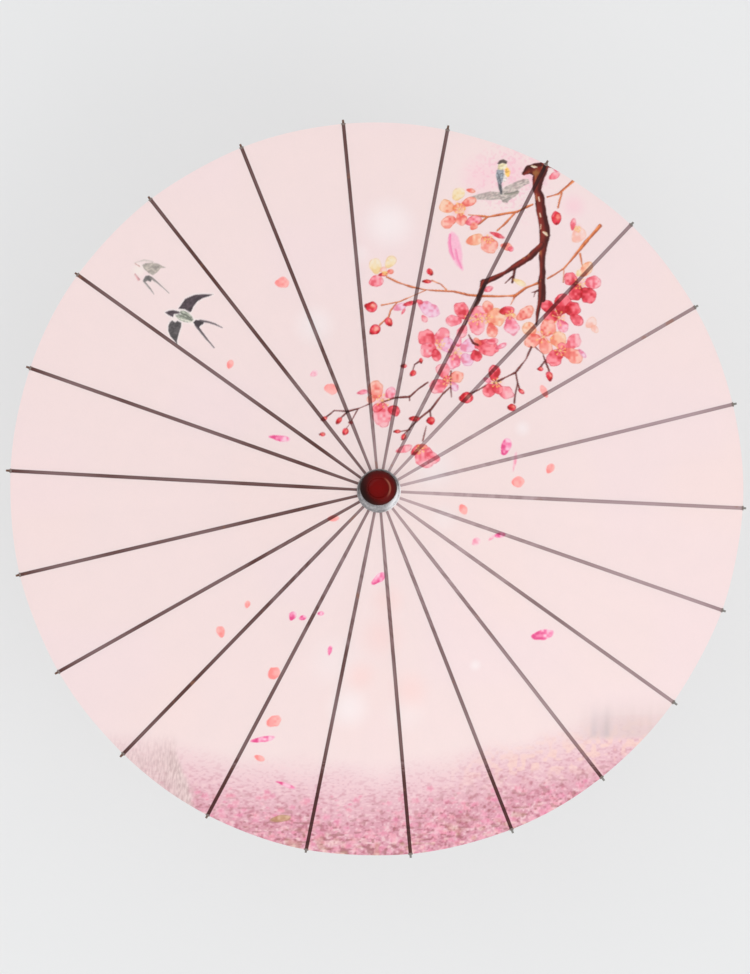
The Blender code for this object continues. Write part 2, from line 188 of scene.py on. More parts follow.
class Net:
    """A node tree whose sockets come out as Values."""

    def __init__(self, tree):
        self.tree = tree
        self.tree.nodes.clear()

    def node(self, kind, settings=None, inputs=None, output=0):
        made = self.tree.nodes.new(kind)
        for key, value in (settings or {}).items():
            if key == "stops":
                self.set_stops(made.color_ramp, value)
            else:
                setattr(made, key, value)
        for key, value in (inputs or {}).items():
            if isinstance(value, Value):
                self.tree.links.new(value.socket, made.inputs[key])
            else:
                made.inputs[key].default_value = value
        return Value(self, made.outputs[output])

    def set_stops(self, ramp, stops):
        while len(ramp.elements) < len(stops):
            ramp.elements.new(0.5)
        for element, (place, colour) in zip(ramp.elements, stops):
            element.position = place
            element.color = (*colour, 1)


class Recipe(Net):
    """A material's node tree."""

    def __init__(self, name):
        self.material = bpy.data.materials.new(name)
        self.material.use_nodes = True
        super().__init__(self.material.node_tree)

    def mix(self, factor, first, second, blend="MIX"):
        """Two colours mixed. Plain colours are three numbers."""
        first, second = (c if isinstance(c, Value) else (*c, 1) for c in (first, second))
        settings = {"data_type": "RGBA", "blend_type": blend, "clamp_factor": True}
        return self.node("ShaderNodeMix", settings, {0: factor, 6: first, 7: second}, output=2)

    def noise(self, vector, scale, detail=3.0, roughness=0.5):
        inputs = {"Vector": vector, "Scale": scale, "Detail": detail, "Roughness": roughness}
        return self.node("ShaderNodeTexNoise", {}, inputs)

    def ramp(self, value, stops):
        """A colour between stops, each a place from 0 to 1 and a plain colour."""
        return self.node("ShaderNodeValToRGB", {"stops": stops}, {0: value})

    def steps(self, value, low, high, to_low=0.0, to_high=1.0):
        """A smooth step from one value to another."""
        inputs = {"Value": value, "From Min": low, "From Max": high, "To Min": to_low, "To Max": to_high}
        return self.node("ShaderNodeMapRange", {"interpolation_type": "SMOOTHSTEP"}, inputs)

    def vector(self, x, y, z):
        return self.node("ShaderNodeCombineXYZ", {}, {0: x, 1: y, 2: z})

    def parts(self, vector):
        split = self.node("ShaderNodeSeparateXYZ", {}, {0: vector})
        return [Value(self, socket) for socket in split.socket.node.outputs]

    def place(self):
        return self.node("ShaderNodeTexCoord", output="Object")

    def attribute(self, name, output="Vector"):
        return self.node("ShaderNodeAttribute", {"attribute_name": name}, output=output)

    def bump(self, height, distance, strength=1.0):
        return self.node("ShaderNodeBump", {}, {"Height": height, "Distance": distance, "Strength": strength})

    def finish(self, surface):
        end = self.tree.nodes.new("ShaderNodeOutputMaterial")
        self.tree.links.new(surface.socket, end.inputs["Surface"])
        return self.material

    def principled(self, **inputs):
        named = {key.replace("_", " "): value for key, value in inputs.items()}
        colour = named.get("Base Color")
        if colour is not None and not isinstance(colour, Value):
            named["Base Color"] = (*colour, 1)
        return self.node("ShaderNodeBsdfPrincipled", {}, named)


def radial_grain(recipe):
    """Coordinates along and across a bar that points away from the shaft: radius, side step and height."""
    x, y, z = recipe.parts(recipe.place())
    radius = (x * x + y * y).math("SQRT")
    turn = y.math("ARCTAN2", x)
    swing = (turn * (RIB_COUNT / 2)).math("SINE").math("ARCSINE")
    return radius, swing * radius / (RIB_COUNT / 2), z


def bamboo_material():
    """Split bamboo dyed dark brown: long fibres, darker nodes now and then, and a painted pale sheen on the
    bare tips towards the lit right side.
    """
    recipe = Recipe("dyed_bamboo")
    radius, side, height = radial_grain(recipe)
    fibres = recipe.noise(recipe.vector(radius * 12, side * 900, height * 900), 1.0, 4.0, 0.6)
    bands = recipe.noise(recipe.vector(radius * 22, side * 30, height * 8), 1.0, 2.0)
    browns = [(0.25, (0.050, 0.020, 0.012)), (0.5, (0.125, 0.055, 0.032)), (0.8, (0.27, 0.14, 0.085))]
    colour = recipe.ramp(fibres * 0.65 + bands * 0.35, browns)
    x, y, _ = recipe.parts(recipe.place())
    bare_tip = recipe.steps(radius, RIB_TIP - 0.008, RIB_TIP - 0.004)
    # Painted light: the bare tips turn pale grey towards the lit right side.
    painted_tip_light = bare_tip * recipe.steps(x - y * 0.4, -0.15, 0.25)
    colour = recipe.mix(painted_tip_light * 0.8, colour, (0.21, 0.22, 0.20))
    roughness = fibres * 0.25 + 0.42
    bump = recipe.bump(fibres, 0.00012, 0.5)
    shader = recipe.principled(Base_Color=colour, Roughness=roughness, Normal=bump, Specular_IOR_Level=0.4)
    return recipe.finish(shader)


def turned_wood_material(name, dark, light, roughness, coat=0.0):
    """Wood turned on a lathe: grain along Z, and fine tool rings round it."""
    recipe = Recipe(name)
    x, y, z = recipe.parts(recipe.place())
    grain = recipe.noise(recipe.vector(x * 260, y * 260, z * 14), 1.0, 5.0, 0.62)
    pores = recipe.noise(recipe.vector(x * 1500, y * 1500, z * 60), 1.0, 2.0)
    rings = (z * 5200 + grain * 5).math("SINE") * 0.5 + 0.5
    colour = recipe.ramp(grain * 0.8 + pores * 0.2, [(0.28, dark), (0.72, light)])
    bump = recipe.bump(grain * 0.7 + rings * 0.3, 0.0001, 0.35)
    shader = recipe.principled(
        Base_Color=colour,
        Roughness=pores * 0.2 + roughness,
        Normal=bump,
        Coat_Weight=coat,
        Coat_Roughness=0.2,
    )
    return recipe.finish(shader)


def metal_material(name, colour, roughness, blotch, bright=None):
    """Dull metal with fine specks and darker tarnish in patches. If `bright` is given, a painted highlight
    lifts its right side to that colour in patches, and painted shade darkens its upper left."""
    recipe = Recipe(name)
    place = recipe.place()
    patches = recipe.noise(place, 420.0, 4.0, 0.6)
    specks = recipe.noise(place, 1400.0, 2.0)
    dark = tuple(channel * (1 - blotch) for channel in colour)
    tint = recipe.mix(recipe.steps(patches * 0.7 + specks * 0.3, 0.36, 0.64), dark, colour)
    if bright is not None:
        x, y, _ = recipe.parts(place)
        # Painted highlight: the right side lifted to the `bright` colour in patches.
        painted_light = recipe.steps(x * 0.93 - y * 0.37, 0.0125, 0.021) * recipe.steps(patches, 0.20, 0.44)
        tint = recipe.mix(painted_light, tint, bright)
        # Painted shade: the upper left darkened.
        wear_and_painted_light = recipe.steps(y * 0.8 - x * 0.6, 0.004, 0.018)
        tint = recipe.mix(wear_and_painted_light * 0.6, tint, (0.20, 0.18, 0.17))
    bump = recipe.bump(patches * 0.5 + specks * 0.5, 0.00015, 0.5)
    shader = recipe.principled(
        Base_Color=tint, Metallic=0.85, Roughness=patches * 0.3 + (roughness - 0.12), Normal=bump
    )
    return recipe.finish(shader)


def lacquer_material(middle_x, middle_y):
    """Red lacquer over turned wood: bright in the dished top, with painted shade to nearly black round the
    skirt and on the left and lower side, and a painted highlight arc on the ring's right.
    """
    recipe = Recipe("red_lacquer_coat")
    x, y, z = recipe.parts(recipe.place())
    across, up = x - middle_x, y - middle_y
    radius = (across * across + up * up).math("SQRT")
    clouds = recipe.noise(recipe.place(), 170.0, 4.0, 0.6)
    brush = recipe.noise(recipe.vector(radius * 2600, z * 1500, clouds * 2), 1.0, 2.0)
    reach = radius * 1000 + (clouds - 0.5) * 4
    # The ramp paints shade: the lacquer darkens from the bright middle to nearly black round the skirt, where
    # the dome's side turns from the light.
    from_middle_out = [
        (0.00, (0.150, 0.0012, 0.0008)),
        (0.48, (0.125, 0.0012, 0.0008)),
        (0.60, (0.110, 0.0030, 0.0020)),
        (0.72, (0.100, 0.0030, 0.0025)),
        (0.88, (0.060, 0.0040, 0.0035)),
        (1.00, (0.022, 0.0090, 0.0070)),
    ]
    colour = recipe.ramp(reach / 20.5, from_middle_out)
    # Painted shade on the cap's left and lower side.
    shaded = recipe.steps(across * 0.85 + up * 0.45, 0.004, -0.019)
    # A painted highlight arc on the ring, on the right side only.
    wear_and_painted_light = recipe.steps(radius, 0.0104, 0.0122) * recipe.steps(radius, 0.0140, 0.0124)
    wear_and_painted_light = wear_and_painted_light * recipe.steps(across * 0.95 + up * 0.2, 0.006, 0.0115) * 0.42
    colour = recipe.mix(wear_and_painted_light, colour, (0.46, 0.17, 0.11))
    # The painted shade is laid over the colour here.
    painted_light = recipe.mix(shaded * recipe.steps(radius, 0.007, 0.015), colour, (0.012, 0.003, 0.002))
    bump = recipe.bump(clouds * 0.6 + brush * 0.4, 0.0002, 0.3)
    shader = recipe.principled(
        Base_Color=painted_light, Roughness=clouds * 0.2 + 0.12, Normal=bump, Specular_IOR_Level=0.07
    )
    return recipe.finish(shader)


def thread_material(name, dark, light):
    recipe = Recipe(name)
    twist = recipe.noise(recipe.place(), 2600.0, 2.0)
    colour = recipe.mix(twist, dark, light)
    bump = recipe.bump(twist, 0.0001)
    return recipe.finish(recipe.principled(Base_Color=colour, Roughness=twist * 0.3 + 0.6, Normal=bump))


def paper_material():
    """Oiled paper: the print, fibres in the sheet, and the ribs showing dark through it, partly their own
    colour and partly painted shade, paler on the lit side as painted light.
    """
    recipe = Recipe("oiled_printed_paper")
    place = recipe.place()
    picture = recipe.attribute("print", "Color")
    side, radius, shade = recipe.parts(recipe.attribute("over_rib"))
    x, y, z = recipe.parts(place)
    fibres = recipe.noise(recipe.vector(x * 420, y * 900, z * 420), 1.0, 4.0, 0.7)
    strands = recipe.noise(recipe.vector(x * 1100, y * 260, z * 300), 1.0, 2.0, 0.5)
    clouds = recipe.noise(place, 26.0, 3.0)
    mottle = fibres * 0.045 + strands * 0.035 + clouds * 0.03 + 0.935
    paper = recipe.mix(1.0, picture, recipe.vector(mottle, mottle, mottle), "MULTIPLY")
    streak = recipe.noise(recipe.vector(radius * 26, side * 420, shade * 40), 1.0, 3.0, 0.6)
    wear_and_painted_light = recipe.noise(recipe.vector(radius * 9, shade * 70, 0.5), 1.0, 1.0)
    away = side.math("ABSOLUTE")
    # A rib is 3 mm wide beside the cap and 4.1 mm wide from 90 mm out
    half_width = recipe.steps(radius, 0.02, 0.09, 0.0015, 0.00205)
    edge = recipe.steps(away - half_width, 0.00042, -0.00042)
    under = recipe.steps(radius, RIB_TIP, RIB_TIP - 0.001)
    split = recipe.noise(recipe.vector(radius * 30, side * 1300, shade * 9), 1.0, 3.0, 0.6)
    core = recipe.steps(away, 0.0019, 0.0004) * (split * 0.5 + 0.1)
    # The rib bands' tone is painted light: the `shade` attribute makes them paler on the lit right side and
    # darker on the left.
    pale = shade + (wear_and_painted_light - 0.5) * 0.7 + (streak - 0.5) * 0.35 + core * 0.30
    pale = pale.math("MAXIMUM", 0.0).math("MINIMUM", 1.0)
    # The dark rib band is partly the rib's own brown seen through the paper and partly painted shade where
    # the rib blocks light from behind.
    dark_rib = recipe.mix(pale, (0.090, 0.034, 0.028), (0.50, 0.43, 0.45))
    rust = recipe.steps(recipe.noise(recipe.vector(x * 55, y * 55, radius * 30), 1.0, 2.0), 0.66, 0.76)
    stained = recipe.mix(rust * 0.5, dark_rib, (0.30, 0.14, 0.07))
    halo = recipe.steps(away - half_width, 0.0022, 0.0004) * (1 - edge) * 0.5
    tint = recipe.mix(edge * under, recipe.mix(halo, (1, 1, 1), (1.03, 1.06, 1.06)), stained)
    colour = recipe.mix(1.0, paper, tint, "MULTIPLY")
    bump = recipe.bump(fibres * 0.6 + strands * 0.4, 0.00006, 0.5)
    skin = recipe.principled(
        Base_Color=colour, Roughness=fibres * 0.2 + 0.42, Normal=bump, Specular_IOR_Level=0.25
    )
    # Pale paper lets most light through, and the ribs and the darkest print hardly any
    _, tone, _ = recipe.parts(colour)
    glow = recipe.node("ShaderNodeBsdfTranslucent", {}, {"Color": (0.92, 0.77, 0.74, 1)})
    return recipe.finish(recipe.node("ShaderNodeMixShader", {}, {0: tone * tone * 0.44, 1: skin, 2: glow}))


# ---- The printed picture, laid out in millimetres from the shaft, across and up ----

PAPER = (0.962, 0.889, 0.877)
UNDERSIDE = (0.955, 0.895, 0.870)

# Brush strokes, each a row of points: across, up and the brush's width. The first five are the main limbs.
MAIN_LIMBS = 5
BRANCH = [
    [(166, 357, 4), (172, 362, 10), (180, 362, 16), (186, 363, 15), (191, 368, 10)],
    [(189, 370, 7), (195, 368, 7), (201, 364, 2)],
    [(186, 360, 13), (182, 350, 13), (180, 338, 9.5), (184, 326, 11), (185, 309, 11.5), (188, 292, 12),
     (188, 286, 12), (186, 275, 9.5), (185, 261, 7.5), (184, 240, 7), (184, 212, 6.5)],
    [(183, 232, 6.5), (182, 215, 5.2), (178, 196, 4), (176, 184, 2.6)],
    [(184, 274, 7.5), (170, 260, 6.2), (156, 251, 5.6), (142, 242, 5), (130, 236, 4.8), (122, 232, 5),
     (118, 230, 7.5), (115, 222, 5.4), (112, 212, 4)],
    [(112, 211, 4), (106, 200, 2.6), (100, 190, 1.8), (94, 177, 1.6), (90, 170, 1.3)],
    [(154, 250, 3), (152, 240, 2.8), (150, 231, 2)],
    [(152, 239, 2), (148, 236, 1.6), (142, 230, 1.3)],
    [(182, 224, 1.8), (176, 221, 1.6), (172, 220, 1.1)],
    [(176, 221, 1.3), (174, 215, 1)],
]
TWIGS = [
    [(175, 321, 1.6), (168, 318, 2.4), (157, 312, 3), (144, 310, 2.2), (125, 306, 2.2), (102, 308, 1.8)],
    [(154, 310, 2.2), (143, 298, 1.9), (134, 290, 1.7)],
    [(124, 306, 2), (114, 298, 1.8), (106, 294, 3)],
    [(192, 330, 1.6), (205, 334, 2.2), (214, 342, 2.6), (224, 351, 3.2)],
    [(209, 335, 1.8), (206, 326, 1.6), (204, 318, 1.6)],
    [(252, 298, 4), (247, 292, 4.2), (236, 280, 3.8), (226, 268, 3.4), (218, 258, 2.8), (209, 248, 2.4),
     (200, 242, 2), (190, 236, 1.6)],
    [(228, 265, 2.6), (230, 252, 1.5)],
    [(209, 246, 1.6), (208, 232, 1.1)],
    [(182, 232, 2.2), (165, 225, 2.4), (153, 216, 2.6), (132, 215, 2), (116, 215, 2), (101, 216, 2),
     (84, 220, 2), (60, 221, 1.8), (49, 222, 1.8), (36, 225, 1.8), (22, 230, 2), (10, 236, 1.6)],
    [(153, 216, 1.8), (148, 206, 1.3)],
    [(76, 222, 1.6), (70, 228, 1.4), (60, 232, 1.4)],
    [(53, 221, 1.6), (42, 216, 1.4), (24, 208, 1.5), (4, 204, 1.7)],
    [(21, 207, 1.5), (14, 198, 1.3), (12, 191, 1.3), (2, 182, 1.4)],
]
RED_TWIGS = [
    [(54, 118, 1.8), (44, 111, 1.5), (34, 102, 1.9), (18, 101, 1.6), (4, 96, 1.9)],
    [(34, 103, 1.4), (34, 98, 1.1)],
    [(-10, 94, 1.6), (-22, 89, 1.6), (-33, 86, 1.5), (-42, 78, 1.5)],
    [(-22, 89, 1.3), (-26, 82, 1.2), (-30, 74, 1.3), (-36, 66, 1.1)],
    [(-33, 86, 1.4), (-48, 87, 1.3), (-59, 78, 1.2)],
    [(80, 131, 1.8), (79, 118, 1.8), (80, 102, 1.6)],
    [(79, 113, 1.8), (70, 105, 1.6), (57, 88, 1.8), (44, 78, 1.6), (34, 68, 1.4), (27, 60, 1.4)],
    [(56, 87, 1.4), (57, 80, 1.2)],
    [(52, 70, 1.1), (48, 54, 1.2)],
    [(34, 66, 1.2), (23, 64, 1.1)],
    [(170, 158, 2), (164, 145, 1.8), (152, 130, 2.1), (134, 121, 1.8), (128, 118, 2.6)],
    [(152, 130, 1.5), (154, 118, 1.4), (156, 112, 1.4)],
    [(154, 118, 1.3), (151, 105, 1.2), (150, 96, 1.5)],
    [(118, 115, 1.5), (110, 110, 1.6), (101, 106, 2.4)],
    [(175, 158, 1.5), (183, 151, 1.3), (186, 142, 1.4), (190, 132, 1.5)],
    [(186, 144, 1.1), (180, 136, 1.3)],
    [(100, 171, 1.7), (105, 162, 1.7), (110, 160, 1.5)],
    [(48, 143, 1.2), (40, 138, 1.2), (38, 132, 1.1)],
]
# Each petal: place, half length, half width, turn in degrees and colouring
FLOWER_PETALS = [
    (-2, 248, 7.5, 6, 100, "yellow"), (14, 253, 6.5, 5, 60, "yellow"), (6, 244, 4, 3.5, 20, "faint"),
    (-2, 231, 7, 5.5, 30, "rose"), (6, 239, 5, 2.5, 10, "crimson"), (14, 242, 3.5, 3, 0, "coral"),
    (56, 200, 11, 6.5, -35, "lilac"), (24, 202, 7, 4, 20, "lilac"), (35, 206, 7, 2.5, 15, "crimson"),
    (46, 208, 4, 2.5, -20, "red"), (51, 189, 4, 3, -60, "rose"), (28, 197, 3.5, 1.5, 60, "rose"),
    (93, 198, 8.5, 7, 120, "red"), (84, 187, 7, 5.5, 180, "rose"), (93, 175, 7, 5, 240, "rose"),
    (111, 194, 9.5, 8, 40, "rose"), (109, 181, 9, 7.5, -50, "rose"), (102, 190, 5, 4, 0, "lilac"),
    (122, 203, 5.5, 5.5, 90, "coral"), (131, 191, 10, 8.5, 20, "peach"), (126, 177, 7, 6, -80, "coral"),
    (143, 199, 7.5, 4.5, 15, "crimson"), (148, 193, 5, 3, 0, "peach"), (148, 182, 9, 7, -70, "pink"),
    (164, 196, 10, 5.5, 35, "coral"), (54, 167, 8.5, 8, 130, "red"), (70, 169, 8.5, 7, 50, "rose"),
    (55, 154, 8, 7, 200, "rose"), (64, 148, 6, 5, -80, "red"), (72, 159, 5.5, 4, 0, "pink"),
    (77, 159, 8, 7, 140, "lilac"), (100, 159, 8, 6.5, 30, "lilac"), (83, 142, 8, 6.5, -110, "pink"),
    (98, 144, 7, 6, -40, "lilac"), (88, 164, 5.5, 4, 90, "pink"), (119, 158, 11.5, 8, -15, "red"),
    (108, 148, 5.5, 6, -90, "crimson"), (126, 164, 6.5, 3.5, 10, "rose"), (110, 164, 5, 3, 140, "coral"),
    (136, 159, 6, 2.5, 25, "pink"), (190, 204, 7, 6, 150, "crimson"), (207, 207, 9.5, 8.5, 80, "crimson"),
    (218, 202, 8, 7, 20, "crimson"), (223, 190, 7, 5.5, -30, "red"), (195, 193, 8.5, 6.5, 200, "crimson"),
    (206, 183, 6.5, 5.5, -60, "pink"), (234, 247, 8.5, 5.5, 50, "peach"), (217, 236, 7, 6.5, 150, "red"),
    (242, 233, 8, 6.5, 15, "rose"), (222, 221, 8.5, 7, -120, "crimson"),
    (236, 218, 8.5, 7.5, -50, "crimson"), (226, 243, 4, 3, 60, "yellow"), (169, 178, 7, 6.5, 150, "peach"),
    (189, 180, 8.5, 8, 60, "coral"), (172, 166, 8.5, 7, 200, "coral"), (186, 160, 8, 7, -70, "coral"),
    (201, 167, 8.5, 7.5, 10, "peach"), (197, 147, 9.5, 7.5, -140, "red"), (218, 165, 8.5, 7, 50, "rose"),
    (217, 150, 10, 7, -20, "coral"), (205, 158, 5.5, 4.5, 90, "red"), (228, 152, 5.5, 2.5, -50, "lilac"),
    (239, 187, 6.5, 4.5, 40, "faint"), (243, 180, 5, 3.5, -50, "faint"), (71, 131, 7, 6.5, 90, "rose"),
    (66, 114, 8.5, 7, 210, "rose"), (85, 124, 7.5, 5.5, 20, "coral"), (83, 114, 5, 4, -60, "lilac"),
    (76, 121, 5, 4, 0, "red"), (128, 129, 7.5, 6, 80, "crimson"), (123, 110, 7.5, 6.5, 220, "red"),
    (140, 108, 8, 6, -30, "rose"), (131, 112, 6, 5, -60, "red"), (120, 121, 4.5, 2.5, 150, "pink"),
    (-3, 110, 8.5, 7, 110, "coral"), (13, 106, 6, 5, 50, "pink"), (4, 82, 11, 9, -90, "rose"),
    (17, 87, 6, 5, -20, "crimson"), (-17, 107, 5.5, 2.5, 10, "pink"), (-8, 99, 4.5, 4, 180, "coral"),
    (-1, 90, 5.5, 4.5, 200, "red"), (50, 38, 11.5, 9.5, -60, "rose"), (27, 45, 8.5, 4, 20, "rose"),
    (41, 44, 7, 4, 40, "red"), (59, 36, 7, 5, -40, "rose"), (47, 48, 5.5, 2.5, -10, "coral"),
    (91, 332, 7, 5.5, 50, "yellow"), (78, 317, 7.5, 6.5, 170, "peach"), (80, 300, 7.5, 6, 210, "coral"),
    (94, 303, 6, 5.5, -70, "coral"), (103, 323, 7, 4.5, 20, "coral"), (91, 315, 6, 5, 0, "peach"),
    (105, 336, 4.5, 2.5, -10, "coral"), (108, 301, 8.5, 5, 20, "rose"), (109, 279, 8.5, 5.5, 15, "peach"),
    (124, 274, 9, 8, -60, "coral"), (144, 272, 6, 4, -15, "coral"), (134, 285, 7.5, 2.5, -20, "red"),
    (149, 269, 3, 3, 0, "rose"), (108, 295, 4.5, 4, 40, "coral"), (221, 299, 7, 3, 80, "rose"),
    (227, 287, 8.5, 7, 60, "faint"), (201, 355, 6.5, 4, 30, "rose"), (205, 362, 4, 2.5, 0, "pink"),
    (159, 231, 7.5, 3, -25, "yellow"), (123, 223, 5, 3, 30, "rose"),
]
# Each spray of stamens: place and radius
HEARTS = [
    (8, 240, 3), (102, 190, 8), (120, 190, 7), (85, 151, 8), (68, 160, 6), (202, 192, 9), (227, 230, 7),
    (184, 170, 10), (203, 155, 6), (76, 120, 6), (130, 118, 6), (4, 98, 8), (44, 44, 5), (92, 314, 8),
    (124, 280, 5), (111, 189, 7), (147, 195, 5), (226, 294, 4),
]
# Heart, middle and rim of a petal, then its outline
PETALS = {
    "red": ((0.78, 0.13, 0.18), (0.89, 0.33, 0.38), (0.95, 0.52, 0.55), (0.67, 0.13, 0.18)),
    "crimson": ((0.69, 0.06, 0.10), (0.84, 0.17, 0.23), (0.92, 0.40, 0.44), (0.57, 0.06, 0.10)),
    "rose": ((0.86, 0.29, 0.35), (0.93, 0.48, 0.53), (0.95, 0.68, 0.70), (0.75, 0.25, 0.31)),
    "coral": ((0.87, 0.34, 0.30), (0.93, 0.53, 0.47), (0.96, 0.71, 0.64), (0.80, 0.36, 0.22)),
    "peach": ((0.90, 0.47, 0.36), (0.95, 0.66, 0.52), (0.97, 0.80, 0.68), (0.82, 0.50, 0.22)),
    "pink": ((0.85, 0.31, 0.41), (0.94, 0.52, 0.59), (0.95, 0.73, 0.78), (0.78, 0.27, 0.37)),
    "lilac": ((0.86, 0.42, 0.53), (0.90, 0.63, 0.75), (0.94, 0.78, 0.85), (0.78, 0.38, 0.54)),
    "yellow": ((0.93, 0.80, 0.50), (0.97, 0.90, 0.70), (0.98, 0.94, 0.82), (0.88, 0.66, 0.40)),
    "faint": ((0.94, 0.66, 0.58), (0.96, 0.77, 0.72), (0.97, 0.85, 0.81), (0.90, 0.62, 0.46)),
}
# Buds: place, half length, half width and turn in degrees
BUDS = [
    (58, 242, 4.5, 3.5, 120), (54, 231, 5, 2.5, 0), (-8, 202, 7, 6, 0), (12, 185, 5.5, 4, 120),
    (-4, 176, 7, 5.5, 40), (28, 136, 3.5, 2.5, 0), (38, 128, 4, 3.5, 40), (47, 142, 3, 2, 90),
    (39, 78, 6, 3, 0), (57, 76, 5, 4.5, 0), (20, 64, 4, 2, 0), (27, 58, 4, 3, 60), (96, 101, 7.5, 6.5, 0),
    (180, 134, 3.5, 2.5, 0), (190, 126, 5.5, 4, 100), (158, 109, 4, 2.5, -40), (147, 91, 5, 4, 0),
    (-36, 64, 4, 3.5, 60), (-43, 76, 4.5, 3, 50), (-59, 78, 4, 2.5, 20), (-30, 74, 2.5, 2, 0),
    (202, 306, 8, 6, 90), (-61, 61, 3.5, 2.5, 0),
]
# Loose petals: place, length, width, turn in degrees, and 0 for coral, 1 for magenta or 2 for pale
LOOSE = [
    (-106, 230, 15, 13, 0, 0), (-163, 139, 10, 8, 70, 0), (-52, 111, 15, 12, -20, 0),
    (-115, -203, 15, 14, 40, 0), (-116, -258, 17, 14, 20, 0), (-132, -301, 12, 7, -25, 0),
    (184, 109, 15, 8, 115, 0), (190, 24, 12, 9, 60, 0), (153, 9, 14, 12, 10, 0), (92, -20, 12, 9, -60, 0),
    (-174, -157, 14, 9, 100, 0), (-144, -126, 9, 6, 80, 0), (-49, -30, 13, 8, 10, 0),
    (107, -56, 11, 9, 30, 2), (-103, -332, 23, 5, -20, 1), (-53, -176, 11, 5, 80, 1),
    (-107, 57, 23, 7, -8, 1), (140, 48, 19, 12, 70, 1), (150, 32, 21, 4, 80, 2), (0, -96, 18, 9, 40, 1),
    (183, -161, 27, 12, 12, 1), (133, -49, 13, 6, 10, 1), (-94, -138, 11, 8, 60, 1), (-83, -140, 8, 6, 20, 1),
    (-63, -135, 7, 5, 0, 1), (-128, -279, 27, 7, 10, 1), (124, -52, 9, 4, 40, 2), (-70, 128, 9, 7, 30, 2),
]
# White glows in the paper's ground: place, radius and strength
GLOWS = [
    (13, 297, 38, 0.95), (-70, 182, 30, 0.75), (-33, -242, 32, 0.85), (108, -194, 9, 0.8), (159, 68, 12, 0.7),
    (60, 24, 34, 0.6), (-48, -190, 40, 0.4), (70, -30, 22, 0.4), (-20, 262, 16, 0.4), (30, -250, 30, 0.35),
]
# The birds' parts: colour, strength and corners
SWALLOW = {
    "far wing": ((0.26, 0.21, 0.23), 0.97, [(-222, 202), (-218.5, 207), (-214.5, 213), (-210, 215),
        (-203.5, 217.5), (-194.5, 218), (-183, 217.5), (-187.5, 215.5), (-194.5, 213.5), (-200.5, 210),
        (-205, 204.5), (-207.5, 198.5), (-210, 197.5), (-214.5, 201)]),
    "near wing": ((0.29, 0.27, 0.27), 0.95, [(-229, 189), (-225.5, 186.5), (-223, 188.5),
        (-218.5, 186.5), (-218.5, 182), (-220.5, 176), (-222, 170), (-223, 166), (-222.5, 161.5),
        (-226, 166), (-230.5, 171), (-233, 177), (-233, 182.5), (-231.5, 186.5)]),
    "body": ((0.60, 0.61, 0.55), 0.95, [(-227, 196), (-223, 199), (-216, 200), (-211, 197.5),
        (-206.5, 193), (-204.5, 188.5), (-208, 186.5), (-214, 186.5), (-219.5, 188.5), (-223.5, 192)]),
    "head": ((0.27, 0.22, 0.24), 0.97, [(-237, 198), (-232.5, 200), (-228, 200.5), (-222, 199),
        (-220.5, 196.5), (-227, 196), (-228, 192.5), (-233, 195)]),
    "tail": ((0.22, 0.19, 0.20), 0.97, [(-205, 186.5), (-202, 189), (-197, 188.5), (-193, 187),
        (-193.5, 184.5), (-197, 182.5), (-199, 179.5), (-202.5, 183)]),
}
FADED_SWALLOW = {
    "wing": ((0.58, 0.55, 0.50), 0.72, [(-264, 252.5), (-260.5, 254.5), (-252.5, 255), (-245.5, 253.5),
        (-240.5, 250.5), (-236.5, 249), (-243, 248.5), (-246, 244.5), (-251.5, 240.5), (-256.5, 243),
        (-262, 248)]),
    "tail": ((0.32, 0.31, 0.30), 0.85, [(-262.5, 235.5), (-260, 240), (-256, 240.5), (-252, 237.5),
        (-254, 233), (-257.5, 234.5), (-260.5, 233)]),
}
PERCHED_BIRD = {
    "twig": ((0.64, 0.60, 0.56), 0.72, [(171, 350.5), (172.5, 346), (165.5, 342.5), (158.5, 337.5),
        (160, 334.5), (156, 330), (149.5, 327), (146, 322), (142, 322.5), (139, 326.5), (127, 325.5),
        (112, 326), (104, 328.5), (113.5, 332), (127, 335.5), (139, 335), (144, 341), (153, 345.5),
        (164, 350.5)]),
    "tail": ((0.34, 0.34, 0.35), 0.95, [(135.5, 349.5), (140, 345.5), (141, 337.5), (140.5, 332),
        (138.5, 333), (136.5, 340.5)]),
    "wing": ((0.52, 0.54, 0.56), 0.95, [(135, 360.5), (140, 363), (143.5, 360), (143.5, 354.5),
        (142, 348.5), (139.5, 343.5), (135.5, 347.5), (134, 354.5)]),
    "belly": ((0.97, 0.94, 0.90), 0.95, [(143, 359.5), (146.5, 354.5), (146, 348.5), (142, 346),
        (142.5, 351.5)]),
    "breast": ((0.94, 0.72, 0.36), 0.95, [(144, 364.5), (148, 363.5), (150.5, 359), (149, 353),
        (146.5, 352.5), (144.5, 356.5)]),
    "face": ((0.94, 0.89, 0.70), 0.95, [(137, 367), (141.5, 369), (146.5, 368), (147, 364),
        (144.5, 362), (140, 360.5), (136, 362)]),
    "cap": ((0.34, 0.29, 0.27), 0.95, [(136, 368.5), (138.5, 372), (143, 373.5), (147.5, 371),
        (146.5, 368), (141.5, 369), (137.5, 367)]),
}
LONG_PETAL = [
    (82.5, 288.5), (79.5, 282.5), (78.5, 275), (80, 265.5), (83, 258), (88, 249.5), (94.5, 243.5),
    (95.5, 245), (94, 253.5), (94.5, 262.5), (93, 272), (90, 282.5), (86, 287),
]


def smooth(low, high, value):
    share = np.clip((value - low) / (high - low), 0, 1)
    return share * share * (3 - 2 * share)


def cloud(x, y, size, seed):
    """Soft random patches from 0 to 1, about `size` across."""
    table = np.random.default_rng(seed).random((64, 64))
    u, v = x / size, y / size
    column, row = np.floor(u).astype(int), np.floor(v).astype(int)
    u, v = u - column, v - row
    u, v = u * u * (3 - 2 * u), v * v * (3 - 2 * v)
    near, far = table[row % 64], table[(row + 1) % 64]
    rows = np.arange(len(u))
    lower = near[rows, column % 64] * (1 - u) + near[rows, (column + 1) % 64] * u
    upper = far[rows, column % 64] * (1 - u) + far[rows, (column + 1) % 64] * u
    return lower * (1 - v) + upper * v


